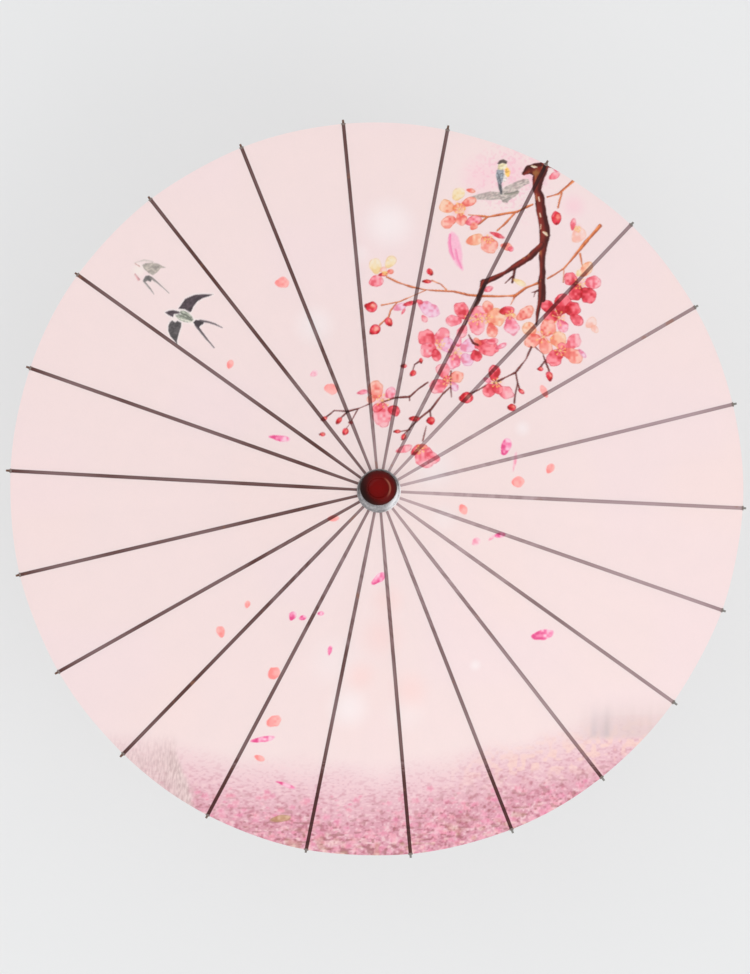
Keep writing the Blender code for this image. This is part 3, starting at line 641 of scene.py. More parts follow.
class Print:
    """The picture at many points of the paper at once, laid down wash over wash."""

    def __init__(self, x, y, ground):
        self.x = x
        self.y = y
        self.colour = np.tile(np.array(ground), (len(x), 1))
        self.order = np.argsort(y)
        self.sorted_y = y[self.order]

    def near(self, x, y, reach):
        """Which points lie in the square round a place."""
        first, last = np.searchsorted(self.sorted_y, (y - reach, y + reach))
        strip = self.order[first:last]
        return strip[np.abs(self.x[strip] - x) < reach]

    def lay(self, at, cover, colour):
        """Paint over some points, from not at all where `cover` is 0 to fully where it is 1."""
        self.colour[at] += cover[:, None] * (np.asarray(colour) - self.colour[at])

    def glow(self, x, y, radius, colour, strength):
        at = self.near(x, y, radius)
        away = np.hypot(self.x[at] - x, self.y[at] - y) / radius
        self.lay(at, strength * smooth(1, 0, away), colour)

    def stroke(self, path, dark, light, strength=1.0, rough=0.5, glint=None):
        """A brush stroke, darker on its left and paler on its right. Its points are (x, y, width)."""
        reach = max(p[2] for p in path)
        xs, ys = [p[0] for p in path], [p[1] for p in path]
        middle = (max(xs) + min(xs)) / 2, (max(ys) + min(ys)) / 2
        span = max(max(xs) - min(xs), max(ys) - min(ys)) / 2
        at = self.near(*middle, span + reach)
        if not len(at):
            return
        x, y = self.x[at], self.y[at]
        best = np.full(len(at), 1e9)
        side = np.zeros(len(at))
        for (x0, y0, w0), (x1, y1, w1) in zip(path, path[1:]):
            dx, dy = x1 - x0, y1 - y0
            share = np.clip(((x - x0) * dx + (y - y0) * dy) / (dx * dx + dy * dy), 0, 1)
            away = np.hypot(x - x0 - share * dx, y - y0 - share * dy)
            half = (w0 + share * (w1 - w0)) / 2
            gap = away - half
            closer = gap < best
            best = np.where(closer, gap, best)
            turn = np.sign((x - x0) * dy - (y - y0) * dx) * away / half
            side = np.where(closer, turn, side)
        gap = best + (cloud(x, y, 9, 5) - 0.5) * rough * 2 + (cloud(x, y, 2.4, 6) - 0.5) * rough * 0.5
        streak = cloud(x, y * 0.35, 2.2, 9) * 0.6 + cloud(x, y, 7, 3) * 0.5
        lit = smooth(-0.8, 0.5, side) * smooth(1.1, 0.6, side)
        tone = np.clip(lit + (streak - 0.55) * 0.9, 0, 1)[:, None]
        colour = np.array(dark) * (1 - tone) + np.array(light) * tone
        if glint is not None:
            shine = smooth(0.66, 0.86, cloud(x, y * 0.5, 2.6, 13)) * smooth(0.1, 0.5, side)
            colour = colour + shine[:, None] * 0.8 * (np.array(glint) - colour)
        self.lay(at, strength * smooth(0.6, -0.6, gap), colour)

    def petal(self, x, y, turn, long, wide, colours, strength=1.0, line=0.6):
        """One petal with a wash from its heart to its rim, and a broken outline."""
        heart, body, rim, outline = (np.array(c) for c in colours)
        at = self.near(x, y, max(long, wide) * 1.3)
        if not len(at):
            return
        dx, dy = self.x[at] - x, self.y[at] - y
        along = dx * math.cos(turn) + dy * math.sin(turn)
        across = dy * math.cos(turn) - dx * math.sin(turn)
        wobble = (cloud(self.x[at], self.y[at], 5, 17) - 0.5) * 0.26
        narrow = 1 - 0.22 * smooth(0.4, -1, along / long)
        away = np.sqrt((along / long) ** 2 + (across / (wide * narrow)) ** 2) + wobble
        soft = 0.55 / min(long, wide)
        wet = cloud(self.x[at], self.y[at], 3.0, 23) - 0.5
        lean = math.sin(x * 1.7 + y * 0.9)
        reach = ((along / long) + 1)[:, None] / 2 + (wet * 1.1 + across / wide * 0.25 * lean)[:, None]
        low, high = smooth(0.0, 0.5, reach), smooth(0.45, 1.0, reach)
        wash = heart * (1 - low) + body * (low - high * low) + rim * high * low
        broken = 0.35 + 0.65 * smooth(0.3, 0.6, cloud(self.x[at], self.y[at], 2.6, 29))
        edge = (smooth(1 - 2.2 * soft, 1 - 0.9 * soft, away) * broken)[:, None] * line
        self.lay(at, strength * smooth(1 + soft, 1 - soft, away), wash * (1 - edge) + outline * edge)

    def stamens(self, x, y, radius):
        """Pale threads with gold ends, from a dark heart."""
        draw = np.random.default_rng(int(abs(x) * 41 + abs(y) * 13))
        first = draw.uniform(0, math.pi)
        self.glow(x, y, radius * 0.55, (0.70, 0.20, 0.20), 0.45)
        for number in range(7):
            angle = first + number * 0.9 + draw.uniform(-0.25, 0.25)
            reach = radius * draw.uniform(0.6, 1.0)
            end = x + reach * math.cos(angle), y + reach * math.sin(angle)
            self.stroke([(x, y, 0.7), (*end, 0.7)], (0.97, 0.80, 0.62), (0.99, 0.90, 0.78), 0.75, 0.1)
            self.glow(*end, 1.5, (0.95, 0.76, 0.34), 0.9)
        self.glow(x, y, 1.8, (0.90, 0.72, 0.36), 0.9)

    def outline(self, corners, fill, strength=1.0, edge=None, soft=0.8, feathers=1.0):
        """A filled shape with a soft edge, and a paler line round it if `edge` is given."""
        points = np.array(corners, float)
        middle = (points.max(0) + points.min(0)) / 2
        reach = (points.max(0) - points.min(0)).max() / 2 + 4
        at = self.near(*middle, reach)
        x, y = self.x[at], self.y[at]
        best = np.full(len(at), 1e9)
        inside = np.zeros(len(at), bool)
        for (x0, y0), (x1, y1) in zip(points, np.roll(points, -1, axis=0)):
            dx, dy = x1 - x0, y1 - y0
            share = np.clip(((x - x0) * dx + (y - y0) * dy) / (dx * dx + dy * dy), 0, 1)
            best = np.minimum(best, np.hypot(x - x0 - share * dx, y - y0 - share * dy))
            crosses = (y0 > y) != (y1 > y)
            level = dy if dy else 1e-9
            inside ^= crosses & (x < x0 + (y - y0) * dx / level)
        gap = np.where(inside, -best, best)
        if edge is not None:
            self.lay(at, 0.7 * strength * smooth(2.6, 0.8, gap), edge)
        stripes = cloud(x * 0.5 + y * 0.6, y - x * 0.5, 1.5, 31)[:, None]
        colour = np.array(fill) * (1 + feathers * (0.6 * stripes - 0.28))
        self.lay(at, strength * smooth(soft, -soft, gap), np.minimum(colour, 1))


def paint_ground(sheet):
    x, y = sheet.x, sheet.y
    everywhere = np.arange(len(x))
    warm = smooth(0.5, 0.8, cloud(x, y, 120, 41)) * 0.35
    sheet.lay(everywhere, warm, (0.975, 0.890, 0.868))
    cool = smooth(0.5, 0.85, cloud(x, y, 90, 43)) * 0.25
    sheet.lay(everywhere, cool, (0.955, 0.875, 0.890))
    for px, py, radius, strength in GLOWS:
        sheet.glow(px, py, radius, (0.998, 0.980, 0.978), strength)
    for place in ((4, -160, 34), (36, -222, 30), (10, -120, 26), (-20, -205, 24)):
        sheet.glow(*place, (0.975, 0.800, 0.770), 0.34)
    for place in ((118, 352, 34), (150, 362, 30), (175, 352, 26), (222, 320, 20)):
        sheet.glow(*place, (0.965, 0.740, 0.790), 0.42)
    at = sheet.near(150, 345, 62)
    mist = smooth(62, 20, np.hypot(x[at] - 150, y[at] - 348)) * smooth(0.5, 0.8, cloud(x[at], y[at], 2.4, 47))
    sheet.lay(at, mist * 0.35, (0.94, 0.66, 0.74))


def paint_birds(sheet):
    sheet.glow(-268, 246.5, 11, (0.985, 0.965, 0.930), 0.85)
    for path, dark, light, strength in (
        ([(-273, 255, 1.4), (-262, 258, 1.6), (-252, 256, 1)], (0.72, 0.68, 0.64), (0.82, 0.78, 0.74), 0.7),
        ([(-272, 254, 1.6), (-267, 251, 1.6)], (0.62, 0.40, 0.36), (0.80, 0.60, 0.56), 0.8),
        ([(-272, 242, 2), (-268, 236, 4)], (0.60, 0.36, 0.38), (0.88, 0.62, 0.62), 0.7),
    ):
        sheet.stroke(path, dark, light, strength)
    for fill, strength, corners in FADED_SWALLOW.values():
        sheet.outline(corners, fill, strength, soft=0.7)
    for path in (
        [(-254, 238, 2.4), (-245, 231, 1.7), (-233, 220, 0.8)],
        [(-262, 234, 2), (-255, 226, 1.4), (-250, 219, 0.7)],
    ):
        sheet.stroke(path, (0.36, 0.34, 0.33), (0.55, 0.52, 0.50), 0.8, 0.2)
    sheet.glow(-226, 190, 5, (0.99, 0.965, 0.94), 0.8)
    sheet.glow(-206, 186, 6, (0.99, 0.965, 0.94), 0.8)
    for fill, strength, corners in SWALLOW.values():
        sheet.outline(corners, fill, strength, edge=(0.985, 0.950, 0.935), soft=0.6)
    for path in (
        [(-197, 188, 2.8), (-188, 186.5, 2.2), (-180.5, 184, 1.6), (-172.5, 180, 0.9)],
        [(-202, 183.5, 3.2), (-197.5, 177.5, 2.6), (-190.5, 168.5, 1.9), (-181, 157.5, 1)],
    ):
        sheet.stroke(path, (0.24, 0.20, 0.22), (0.36, 0.32, 0.33), 0.9, 0.2)
    for shift in (0, 3.2):
        path = [(-222, 198.5 - shift, 1.2), (-214, 195 - shift, 1.5), (-206.5, 189.5 - shift * 0.4, 1)]
        sheet.stroke(path, (0.30, 0.31, 0.28), (0.42, 0.42, 0.38), 0.75, 0.2)
    belly = [(-221, 191, 1.2), (-213, 188.5, 1.8), (-206, 187, 1)]
    sheet.stroke(belly, (0.93, 0.92, 0.84), (0.98, 0.97, 0.92), 0.8, 0.2)
    for fill, strength, corners in PERCHED_BIRD.values():
        sheet.outline(corners, fill, strength, soft=0.6)
    for path, dark, light, rough in (
        ([(144, 333, 3), (151, 333, 4), (158.5, 335.5, 3)], (0.42, 0.40, 0.37), (0.60, 0.58, 0.52), 0.5),
        ([(141.5, 324.5, 2), (149.5, 328, 3)], (0.46, 0.43, 0.41), (0.64, 0.61, 0.58), 0.5),
        ([(136, 357, 1), (138, 351, 1.5), (139.5, 345, 1.1)], (0.30, 0.31, 0.33), (0.40, 0.41, 0.43), 0.2),
    ):
        sheet.stroke(path, dark, light, 0.8, rough)


def paint_branch(sheet):
    for path in TWIGS:
        sheet.stroke(path, (0.58, 0.22, 0.11), (0.89, 0.50, 0.26), 0.92, 0.45)
    for x, y, radius in HEARTS:
        sheet.glow(x, y, radius * 1.9, (0.90, 0.45, 0.48), 0.42)
    for path in BRANCH[MAIN_LIMBS:]:
        sheet.stroke(path, (0.20, 0.04, 0.03), (0.40, 0.12, 0.09), 0.95, 0.4)
    for x, y, long, wide, turn, kind in FLOWER_PETALS:
        strength = {"faint": 0.75, "yellow": 0.8, "lilac": 0.8}.get(kind, 0.88)
        fuller = 1.2 if wide > 4 else 1.1
        sheet.petal(x, y, math.radians(turn), long * fuller, wide * fuller, PETALS[kind], strength)
    for path in RED_TWIGS:
        sheet.stroke(path, (0.26, 0.06, 0.06), (0.48, 0.16, 0.13), 0.95, 0.45)
    for path in BRANCH[:MAIN_LIMBS]:
        sheet.stroke(path, (0.25, 0.05, 0.035), (0.49, 0.14, 0.10), 1.0, 0.8, glint=(0.62, 0.36, 0.20))
    sheet.glow(181, 358, 6, (0.58, 0.38, 0.19), 0.85)
    for path in (
        [(175, 366, 2), (178, 365, 3.2), (181, 365, 1.5)],
        [(186.5, 289.5, 1.5), (189.5, 287.5, 2.8), (191, 285.5, 1)],
        [(183, 311, 1.2), (184, 307, 1.5)],
        [(182, 330, 1.4), (183, 325, 1.2)],
        [(184, 298, 1.3), (183.6, 293, 1.1)],
    ):
        sheet.stroke(path, (0.90, 0.78, 0.62), (0.985, 0.94, 0.85), 0.9, 0.4)
    for x, y, radius in HEARTS:
        sheet.stamens(x, y, radius)
    for x, y, long, wide, turn in BUDS:
        angle = math.radians(turn)
        sheet.petal(x, y, angle, long, wide, PETALS["crimson"])
        sheet.petal(x + wide * 0.3, y + wide * 0.2, angle, long * 0.45, wide * 0.45, PETALS["coral"], 0.8)
        foot = x - long * 0.8 * math.cos(angle), y - long * 0.8 * math.sin(angle)
        sheet.glow(*foot, 1.8, (0.30, 0.09, 0.07), 0.8)


def paint_loose_petals(sheet):
    coral = ((0.95, 0.48, 0.46), (0.965, 0.56, 0.54), (0.975, 0.66, 0.63), (0.93, 0.46, 0.44))
    magenta = ((0.84, 0.18, 0.44), (0.92, 0.42, 0.60), (0.97, 0.76, 0.83), (0.88, 0.36, 0.56))
    pale = ((0.92, 0.52, 0.62), (0.955, 0.72, 0.77), (0.975, 0.85, 0.87), (0.95, 0.70, 0.76))
    for x, y, long, wide, turn, kind in LOOSE:
        sheet.petal(x, y, math.radians(turn), long / 2, wide / 2, (coral, magenta, pale)[kind], 0.85, 0.3)
    sheet.outline(LONG_PETAL, (0.95, 0.68, 0.77), 0.85, soft=1.6, feathers=0.1)
    for path in (
        [(81, 285, 2), (80, 275, 3.2), (81.5, 265, 3.6), (85, 257, 2.6)],
        [(87, 268, 2), (88.5, 257, 3.4), (93, 247, 3)],
    ):
        sheet.stroke(path, (0.87, 0.30, 0.52), (0.92, 0.50, 0.66), 0.6, 0.5)


def paint_blossom_carpet(sheet):
    """The drift of fallen blossom along the lower rim: fine and hazy far off, coarser towards the edge."""
    draw = np.random.default_rng(7)
    at = np.flatnonzero(sheet.y < -255)
    x, y = sheet.x[at], sheet.y[at]
    top = -300 - 12 * np.cos(x / 110) + np.clip(x, 0, 400) * 0.10 + (cloud(x, y, 40, 51) - 0.5) * 16
    depth = top - y
    far = smooth(-18, 34, depth)
    near = smooth(18, 85, depth)
    sheet.lay(at, far * 0.85, (0.900, 0.735, 0.760))
    sheet.lay(at, near * 0.85, (0.800, 0.540, 0.600))
    fine = cloud(x * 0.62, y * 1.15, 1.7, 53) * 0.6 + cloud(x * 0.8, y * 1.3, 3.4, 55) * 0.4
    coarse = cloud(x * 0.8, y * 1.2, 4.4, 57) * 0.55 + cloud(x, y * 1.3, 2.1, 59) * 0.45
    grain = fine * (1 - near) + coarse * near
    sheet.lay(at, far * smooth(0.52, 0.78, grain) * 0.75, (0.945, 0.805, 0.810))
    sheet.lay(at, far * smooth(0.48, 0.24, grain) * (0.26 + 0.50 * near), (0.690, 0.400, 0.455))
    warm = smooth(40, 180, x) * smooth(62, 20, depth) * far
    sheet.lay(at, warm * smooth(0.45, 0.7, cloud(x, y, 5, 61)) * 0.6, (0.975, 0.835, 0.755))
    for _ in range(900):
        px, py = draw.uniform(-290, 290), draw.uniform(-416, -330)
        level = -300 - 12 * math.cos(px / 110) + max(px, 0) * 0.10 - py
        if draw.random() > smooth(22, 85, np.array(level)):
            continue
        size = draw.uniform(2.4, 5.2)
        warmth = draw.random()
        rim = np.array((0.965, 0.80, 0.81)) * (1 - warmth) + np.array((0.925, 0.68, 0.75)) * warmth
        heart = np.array((0.88, 0.55, 0.61)) * (1 - warmth) + np.array((0.83, 0.44, 0.56)) * warmth
        colours = (heart, (heart + rim) / 2, rim, (heart + rim) / 2)
        if size > 3.8:
            turn = draw.uniform(0, 6.28)
            for number in range(5):
                angle = turn + number * 1.257
                place = px + size * 0.6 * math.cos(angle), py + size * 0.42 * math.sin(angle)
                sheet.petal(*place, angle, size * 0.46, size * 0.34, colours, 0.65)
        else:
            sheet.petal(px, py, draw.uniform(-0.5, 0.5), size * 0.8, size * 0.45, colours, 0.7)
    low = smooth(62, 104, depth)
    specks = smooth(0.68, 0.86, cloud(x * 0.7, y * 1.2, 3.4, 63)) * near
    sheet.lay(at, specks * 0.55, (0.56, 0.34, 0.34))
    greens = smooth(0.62, 0.82, cloud(x * 0.6, y, 5.5, 67)) * low
    sheet.lay(at, greens * 0.45, (0.70, 0.56, 0.44))
    creams = smooth(0.64, 0.84, cloud(x * 0.7, y, 4.5, 69)) * low
    sheet.lay(at, creams * 0.5, (0.985, 0.86, 0.80))
    leaf = ((0.66, 0.50, 0.34), (0.74, 0.58, 0.42), (0.82, 0.68, 0.52), (0.60, 0.44, 0.32))
    sheet.petal(-109, -372, 0.15, 11, 4.5, leaf, 0.8)


def paint_far_trees(sheet):
    """A hazy trunk at the left end of the drift and grey crowns at the right."""
    at = sheet.near(-250, -320, 70)
    x, y = sheet.x[at], sheet.y[at]
    edge = -226 + 17 * smooth(-290, -352, y)
    cover = smooth(4, -5, x - edge) * smooth(-268, -312, y)
    hatch = cloud(x * 1.5 - y * 0.2, y * 0.32 + x * 0.3, 1.6, 73)
    tone = np.array((0.74, 0.63, 0.62)) + hatch[:, None] * np.array((0.22, 0.25, 0.24))
    sheet.lay(at, cover * (0.6 + 0.35 * smooth(-40, 0, x - edge)), tone)
    at = sheet.near(265, -250, 75)
    x, y = sheet.x[at], sheet.y[at]
    trunks = 0.55 + 0.45 * cloud(x, y * 0.12, 5, 71)
    cover = smooth(-226, -275, y) * smooth(-286, -278, y) * smooth(206, 262, x) * trunks
    sheet.lay(at, cover * 0.75, (0.850, 0.765, 0.745))
    for place, wide in ((253, 13), (241, 7)):
        upright = smooth(-236, -276, y) * smooth(-284, -276, y) * trunks
        trunk = smooth(wide, 0, np.abs(x - place - 4)) * upright
        sheet.lay(at, trunk * 0.6, (0.740, 0.690, 0.700))


def print_colours(points, ground):
    """The printed paper's colour at points of the frame, as linear numbers. """
    across = points[:, 0] * math.cos(PICTURE_TURN) + points[:, 1] * math.sin(PICTURE_TURN)
    up = points[:, 1] * math.cos(PICTURE_TURN) - points[:, 0] * math.sin(PICTURE_TURN)
    sheet = Print(across * 1000, up * 1000, ground)
    paint_ground(sheet)
    paint_blossom_carpet(sheet)
    paint_far_trees(sheet)
    paint_birds(sheet)
    paint_branch(sheet)
    paint_loose_petals(sheet)
    colour = np.clip(sheet.colour, 0, 1)
    return np.where(colour > 0.04045, ((colour + 0.055) / 1.055) ** 2.4, colour / 12.92)


# ---- The paper, one gore over each rib ----

# How far the cut edge strays, how far the paper sags between two ribs, and how far its waves rise
RIM_SWING = 0.0013
SAG = 0.0011
WAVE = 0.00022
# How far apart the points of the paper are, on the printed top and on the underside
TOP_SPACING = 0.00095
UNDER_SPACING = 0.0029


def paper_edge(azimuth):
    """The trimmed edge's radius: a hand-cut circle."""
    swing = np.sin(azimuth * 3 + 0.7) * 0.5 + np.sin(azimuth * 7 + 2.1) * 0.3 + np.sin(azimuth * 17) * 0.2
    return PAPER_RADIUS - RIM_SWING + RIM_SWING * swing


def paper_height(radius, azimuth, share):
    """The paper's lower face: flat from rib to rib, with a slight sag between them."""
    top_of_rib = HUB_PIVOT.z + (RIB_TOP + GLUE) / math.cos(SLOPE)
    tilt = math.tan(SLOPE)
    off_middle = HALF_PANEL * (1 - np.abs(share))
    chord = radius * np.cos(off_middle) / math.cos(HALF_PANEL)
    flat = top_of_rib - (chord - HUB_PIVOT.x) * tilt
    between = np.sin(math.pi / 2 * np.abs(share)) ** 2
    along = np.clip((radius - PAPER_INNER_RADIUS) / (PAPER_RADIUS - PAPER_INNER_RADIUS), 0, 1)
    sag = SAG * between * np.sin(math.pi * along) ** 0.7
    wave = np.sin(radius * 95 + azimuth * 5) * np.sin(azimuth * 13 + radius * 31) * WAVE
    return flat - sag + wave * between * along


def gore_rows(spacing):
    """How many columns each row of a gore has, and each row's share of the way out."""
    length = PAPER_RADIUS - PAPER_INNER_RADIUS
    shares = np.linspace(0, 1, max(4, round(length / spacing)) + 1)
    widths = 2 * HALF_PANEL * (PAPER_INNER_RADIUS + shares * length)
    return shares, [2 * max(2, round(width / spacing / 2)) for width in widths]


def zip_rows(first, first_at, second, second_at, flip):
    """Triangles between two rows of points that run the same way."""
    faces = []
    i = j = 0
    while i < len(first) - 1 or j < len(second) - 1:
        forward = j == len(second) - 1 or (i < len(first) - 1 and first_at[i + 1] <= second_at[j + 1])
        if forward:
            face = (first[i], first[i + 1], second[j])
            i += 1
        else:
            face = (first[i], second[j + 1], second[j])
            j += 1
        faces.append(face[::-1] if flip else face)
    return faces


class GoreLayout:
    """The points and triangles that every gore shares: each point's share out and share across."""

    def __init__(self):
        self.out = []
        self.across = []
        self.faces = []
        self.count = 0
        upper = self.add_face_of_paper(TOP_SPACING, True)
        self.top_count = self.count
        lower = self.add_face_of_paper(UNDER_SPACING, False)
        self.close(upper, lower)
        self.out = np.concatenate(self.out)
        self.across = np.concatenate(self.across)

    def add_face_of_paper(self, spacing, flip):
        shares, columns = gore_rows(spacing)
        rows = []
        for share, count in zip(shares, columns):
            at = np.linspace(-1, 1, count + 1)
            index = list(range(self.count, self.count + count + 1))
            self.count += count + 1
            self.out.append(np.full(count + 1, share))
            self.across.append(at)
            rows.append((share, index, list(at)))
        for (_, inner, inner_at), (_, outer, outer_at) in zip(rows, rows[1:]):
            a, b = len(inner) // 2, len(outer) // 2
            self.faces += zip_rows(inner[: a + 1], inner_at[: a + 1], outer[: b + 1], outer_at[: b + 1], flip)
            self.faces += zip_rows(inner[a:], inner_at[a:], outer[b:], outer_at[b:], flip)
        return rows

    def close(self, upper, lower):
        for end, flip in ((0, False), (-1, True)):
            self.faces += zip_rows(upper[end][1], upper[end][2], lower[end][1], lower[end][2], flip)
        for side, flip in ((-1, False), (0, True)):
            first = [row[1][side] for row in upper], [row[0] for row in upper]
            second = [row[1][side] for row in lower], [row[0] for row in lower]
            self.faces += zip_rows(*first, *second, flip)


def rib_shade(points):
    """How pale each rib looks through the paper, as painted light: paler on the lit right side and near the
    shaft, darker on the left and over the blossom drift; dark at 0 or less, pale at 1.
    """
    across = points[:, 0] * math.cos(PICTURE_TURN) + points[:, 1] * math.sin(PICTURE_TURN)
    up = points[:, 1] * math.cos(PICTURE_TURN) - points[:, 0] * math.sin(PICTURE_TURN)
    radius = np.maximum(np.hypot(across, up), 0.02)
    right = across / radius
    light = 0.10 + 0.52 * np.maximum(right, 0) ** 1.2 + 0.12 * np.minimum(right, 0)
    near_shaft = smooth(0.20, 0.03, radius) * smooth(-1.0, -0.35, right - 0.25 * up / radius)
    carpet = smooth(-0.300, -0.345, up)
    return np.clip(light + 0.26 * near_shaft, 0.0, 0.92) * (1 - carpet) - 0.45 * carpet


def new_piece(name, points, faces, material, smooth_under=math.radians(40)):
    mesh = bpy.data.meshes.new(name)
    mesh.from_pydata(np.asarray(points).tolist(), [], faces)
    mesh.materials.append(material)
    mesh.shade_smooth()
    if smooth_under is not None:
        mesh.set_sharp_from_angle(angle=smooth_under)
    return link(bpy.data.objects.new(name, mesh))


def add_gores(material):
    layout = GoreLayout()
    is_top = np.arange(layout.count) < layout.top_count
    places = []
    for index in range(RIB_COUNT):
        azimuth = rib_azimuth(index) + layout.across * HALF_PANEL
        radius = PAPER_INNER_RADIUS + layout.out * (paper_edge(azimuth) - PAPER_INNER_RADIUS)
        height = paper_height(radius, azimuth, layout.across)
        height = height + np.where(is_top, PAPER_THICKNESS / math.cos(SLOPE), 0)
        places.append(np.stack([radius * np.cos(azimuth), radius * np.sin(azimuth), height], axis=1))
    tops = np.concatenate([place[is_top] for place in places])
    unders = np.concatenate([place[~is_top] for place in places])
    top_print = print_colours(tops, PAPER).reshape(RIB_COUNT, -1, 3)
    under_print = print_colours(unders, PAPER)
    plain = np.array(UNDERSIDE) ** 2.2
    under_print = (under_print * 0.45 + plain * 0.55).reshape(RIB_COUNT, -1, 3)
    for index, place in enumerate(places):
        name = f"paper_gore_{index:02d}"
        gore = new_piece(name, place, layout.faces, material)
        mesh = gore.data
        colours = np.ones((layout.count, 4), np.float32)
        colours[is_top, :3] = top_print[index]
        colours[~is_top, :3] = under_print[index]
        shown = mesh.attributes.new("print", "FLOAT_COLOR", "POINT")
        shown.data.foreach_set("color", colours.ravel())
        turn = rib_azimuth(index)
        side = place[:, 1] * math.cos(turn) - place[:, 0] * math.sin(turn)
        out = place[:, 0] * math.cos(turn) + place[:, 1] * math.sin(turn)
        facts = np.stack([side, out, rib_shade(place)], axis=1).astype(np.float32)
        over_rib = mesh.attributes.new("over_rib", "FLOAT_VECTOR", "POINT")
        over_rib.data.foreach_set("vector", facts.ravel())
        add_paper_map(mesh, side, out, is_top)
        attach(gore, f"rib_{index:02d}")
        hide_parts("canopy")
        fold_flat(gore)


def add_paper_map(mesh, side, out, is_top):
    """A flat map of the gore: its top face on the left half, its underside on the right."""
    corners = np.empty(len(mesh.loops), np.int32)
    mesh.loops.foreach_get("vertex_index", corners)
    size = PAPER_RADIUS * 1.02
    across = (side + 0.0625) / size + np.where(is_top, 0.02, 0.5)
    map_points = np.stack([across * 0.98, out / size], axis=1)
    layer = mesh.uv_layers.new(name="OFBake")
    layer.data.foreach_set("uv", map_points[corners].astype(np.float32).ravel())


def fold_flat(piece):
    """Gives the piece its own copy of its mesh."""
    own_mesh(piece)


# ---- Turned and pressed pieces ----

LATHE_STEPS = 160


def lathe(name, profile, centre, material, replaced, wobble):
    """A piece turned round Z. Its profile is (radius, height) from pole to pole."""
    steps = LATHE_STEPS
    angles = np.arange(steps) * 2 * math.pi / steps
    points = [(centre.x, centre.y, profile[0][1])]
    for number, (radius, height) in enumerate(profile[1:-1]):
        ring_radius = radius * (1 + wobble(angles, number))
        x = centre.x + ring_radius * np.cos(angles)
        y = centre.y + ring_radius * np.sin(angles)
        points.extend(np.stack([x, y, np.full(steps, height)], axis=1).tolist())
    points.append((centre.x, centre.y, profile[-1][1]))
    faces = []
    rings = len(profile) - 2
    for step in range(steps):
        after = (step + 1) % steps
        faces.append((0, 1 + after, 1 + step))
        for ring in range(rings - 1):
            low, high = 1 + ring * steps, 1 + (ring + 1) * steps
            faces.append((low + step, low + after, high + after, high + step))
        last = 1 + (rings - 1) * steps
        faces.append((last + step, last + after, len(points) - 1))
    piece = new_piece(name, points, faces, material, math.radians(50))
    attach(piece, "root")
    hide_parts(replaced)


def rounded(profile, size, steps=4):
    """The profile with each inner corner cut back by `size` and rounded."""
    result = [profile[0]]
    for before, corner, after in zip(profile, profile[1:], profile[2:]):
        corner, before, after = Vector(corner), Vector(before), Vector(after)
        back = min(size, (before - corner).length * 0.45, (after - corner).length * 0.45)
        start = corner + (before - corner).normalized() * back
        end = corner + (after - corner).normalized() * back
        for step in range(steps + 1):
            share = step / steps
            point = start * (1 - share) ** 2 + corner * 2 * share * (1 - share) + end * share**2
            result.append((point.x, point.y))
    return [*result, profile[-1]]


def add_cap(material):
    low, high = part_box("cap")
    centre = (low + high) / 2 + picture_point(0, 0.0006)
    radius = (high.x - low.x) / 2
    top = high.z
    profile = [
        (0, low.z),
        (radius * 0.97, low.z),
        (radius, low.z + 0.0008),
        (radius, top - 0.0072),
        (radius - 0.0010, top - 0.0052),
        (radius - 0.0036, top - 0.0028),
        (radius - 0.0056, top - 0.0018),
        (radius - 0.0062, top - 0.0016),
        (radius - 0.0066, top - 0.0002),
        (radius - 0.0076, top),
        (radius - 0.0085, top - 0.0004),
        (radius - 0.0090, top - 0.0017),
        (radius - 0.0120, top - 0.0024),
        (0.0022, top - 0.0027),
        (0, top - 0.0027),
    ]

    def swell(angles, number):
        oval = -0.028 * (1 + np.cos(2 * (angles - PICTURE_TURN - math.pi / 2)))
        return oval + 0.0022 * np.sin(angles * 3 + 1.0) + 0.0012 * np.sin(angles * 5 + number * 0.3)

    lathe("cap_lacquered", rounded(profile, 0.0007), centre, material, "cap", swell)


def add_collar(material):
    low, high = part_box("collar")
    centre = (low + high) / 2
    radius = (high.x - low.x) / 2
    cap_low, cap_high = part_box("cap")
    cap_centre = (cap_low + cap_high) / 2
    seat = (cap_high.x - cap_low.x) / 2 + (cap_centre - centre).to_2d().length + 0.0006
    profile = [
        (0, low.z + 0.0040),
        (0.0120, low.z + 0.0040),
        (radius - 0.0030, low.z + 0.0012),
        (radius - 0.0012, low.z),
        (radius - 0.0004, low.z + 0.0002),
        (radius - 0.0001, low.z + 0.0012),
        (radius - 0.0003, high.z - 0.0016),
        (radius - 0.0006, high.z - 0.0005),
        (radius - 0.0012, high.z),
        (seat, high.z - 0.0003),
        (seat - 0.0004, high.z - 0.0012),
        (seat - 0.0005, cap_low.z + 0.0004),
        (seat - 0.0020, cap_low.z - 0.0001),
        (0, cap_low.z - 0.0001),
    ]

    def crimp(angles, number):
        folds = np.abs(np.sin(angles * 11 + 0.4)) * 0.010 * (number > 12)
        ripple = 0.0016 * np.sin(angles * 23 + number * 0.2)
        return 0.003 * np.sin(angles * 2 + 0.6) - folds * 0.6 + ripple - 0.004

    lathe("collar_ferrule", rounded(profile, 0.0004, 3), centre, material, "collar", crimp)


# ---- Threads, laid along their paths by Geometry Nodes ----

# Radius of one strand: in the bindings at the tips, and in all the rest
TIP_STRAND = 0.00013
FINE_STRAND = 0.00012
# A winding's reach below the rib's pivot line, and above it at the rib's middle
WINDING_LOW = -0.0020
WINDING_HIGH = 0.00345
# How far the rim's thread runs inside the paper's edge, and how far under the paper
RIM_INSET = 0.0022
RIM_DROP = 0.00026


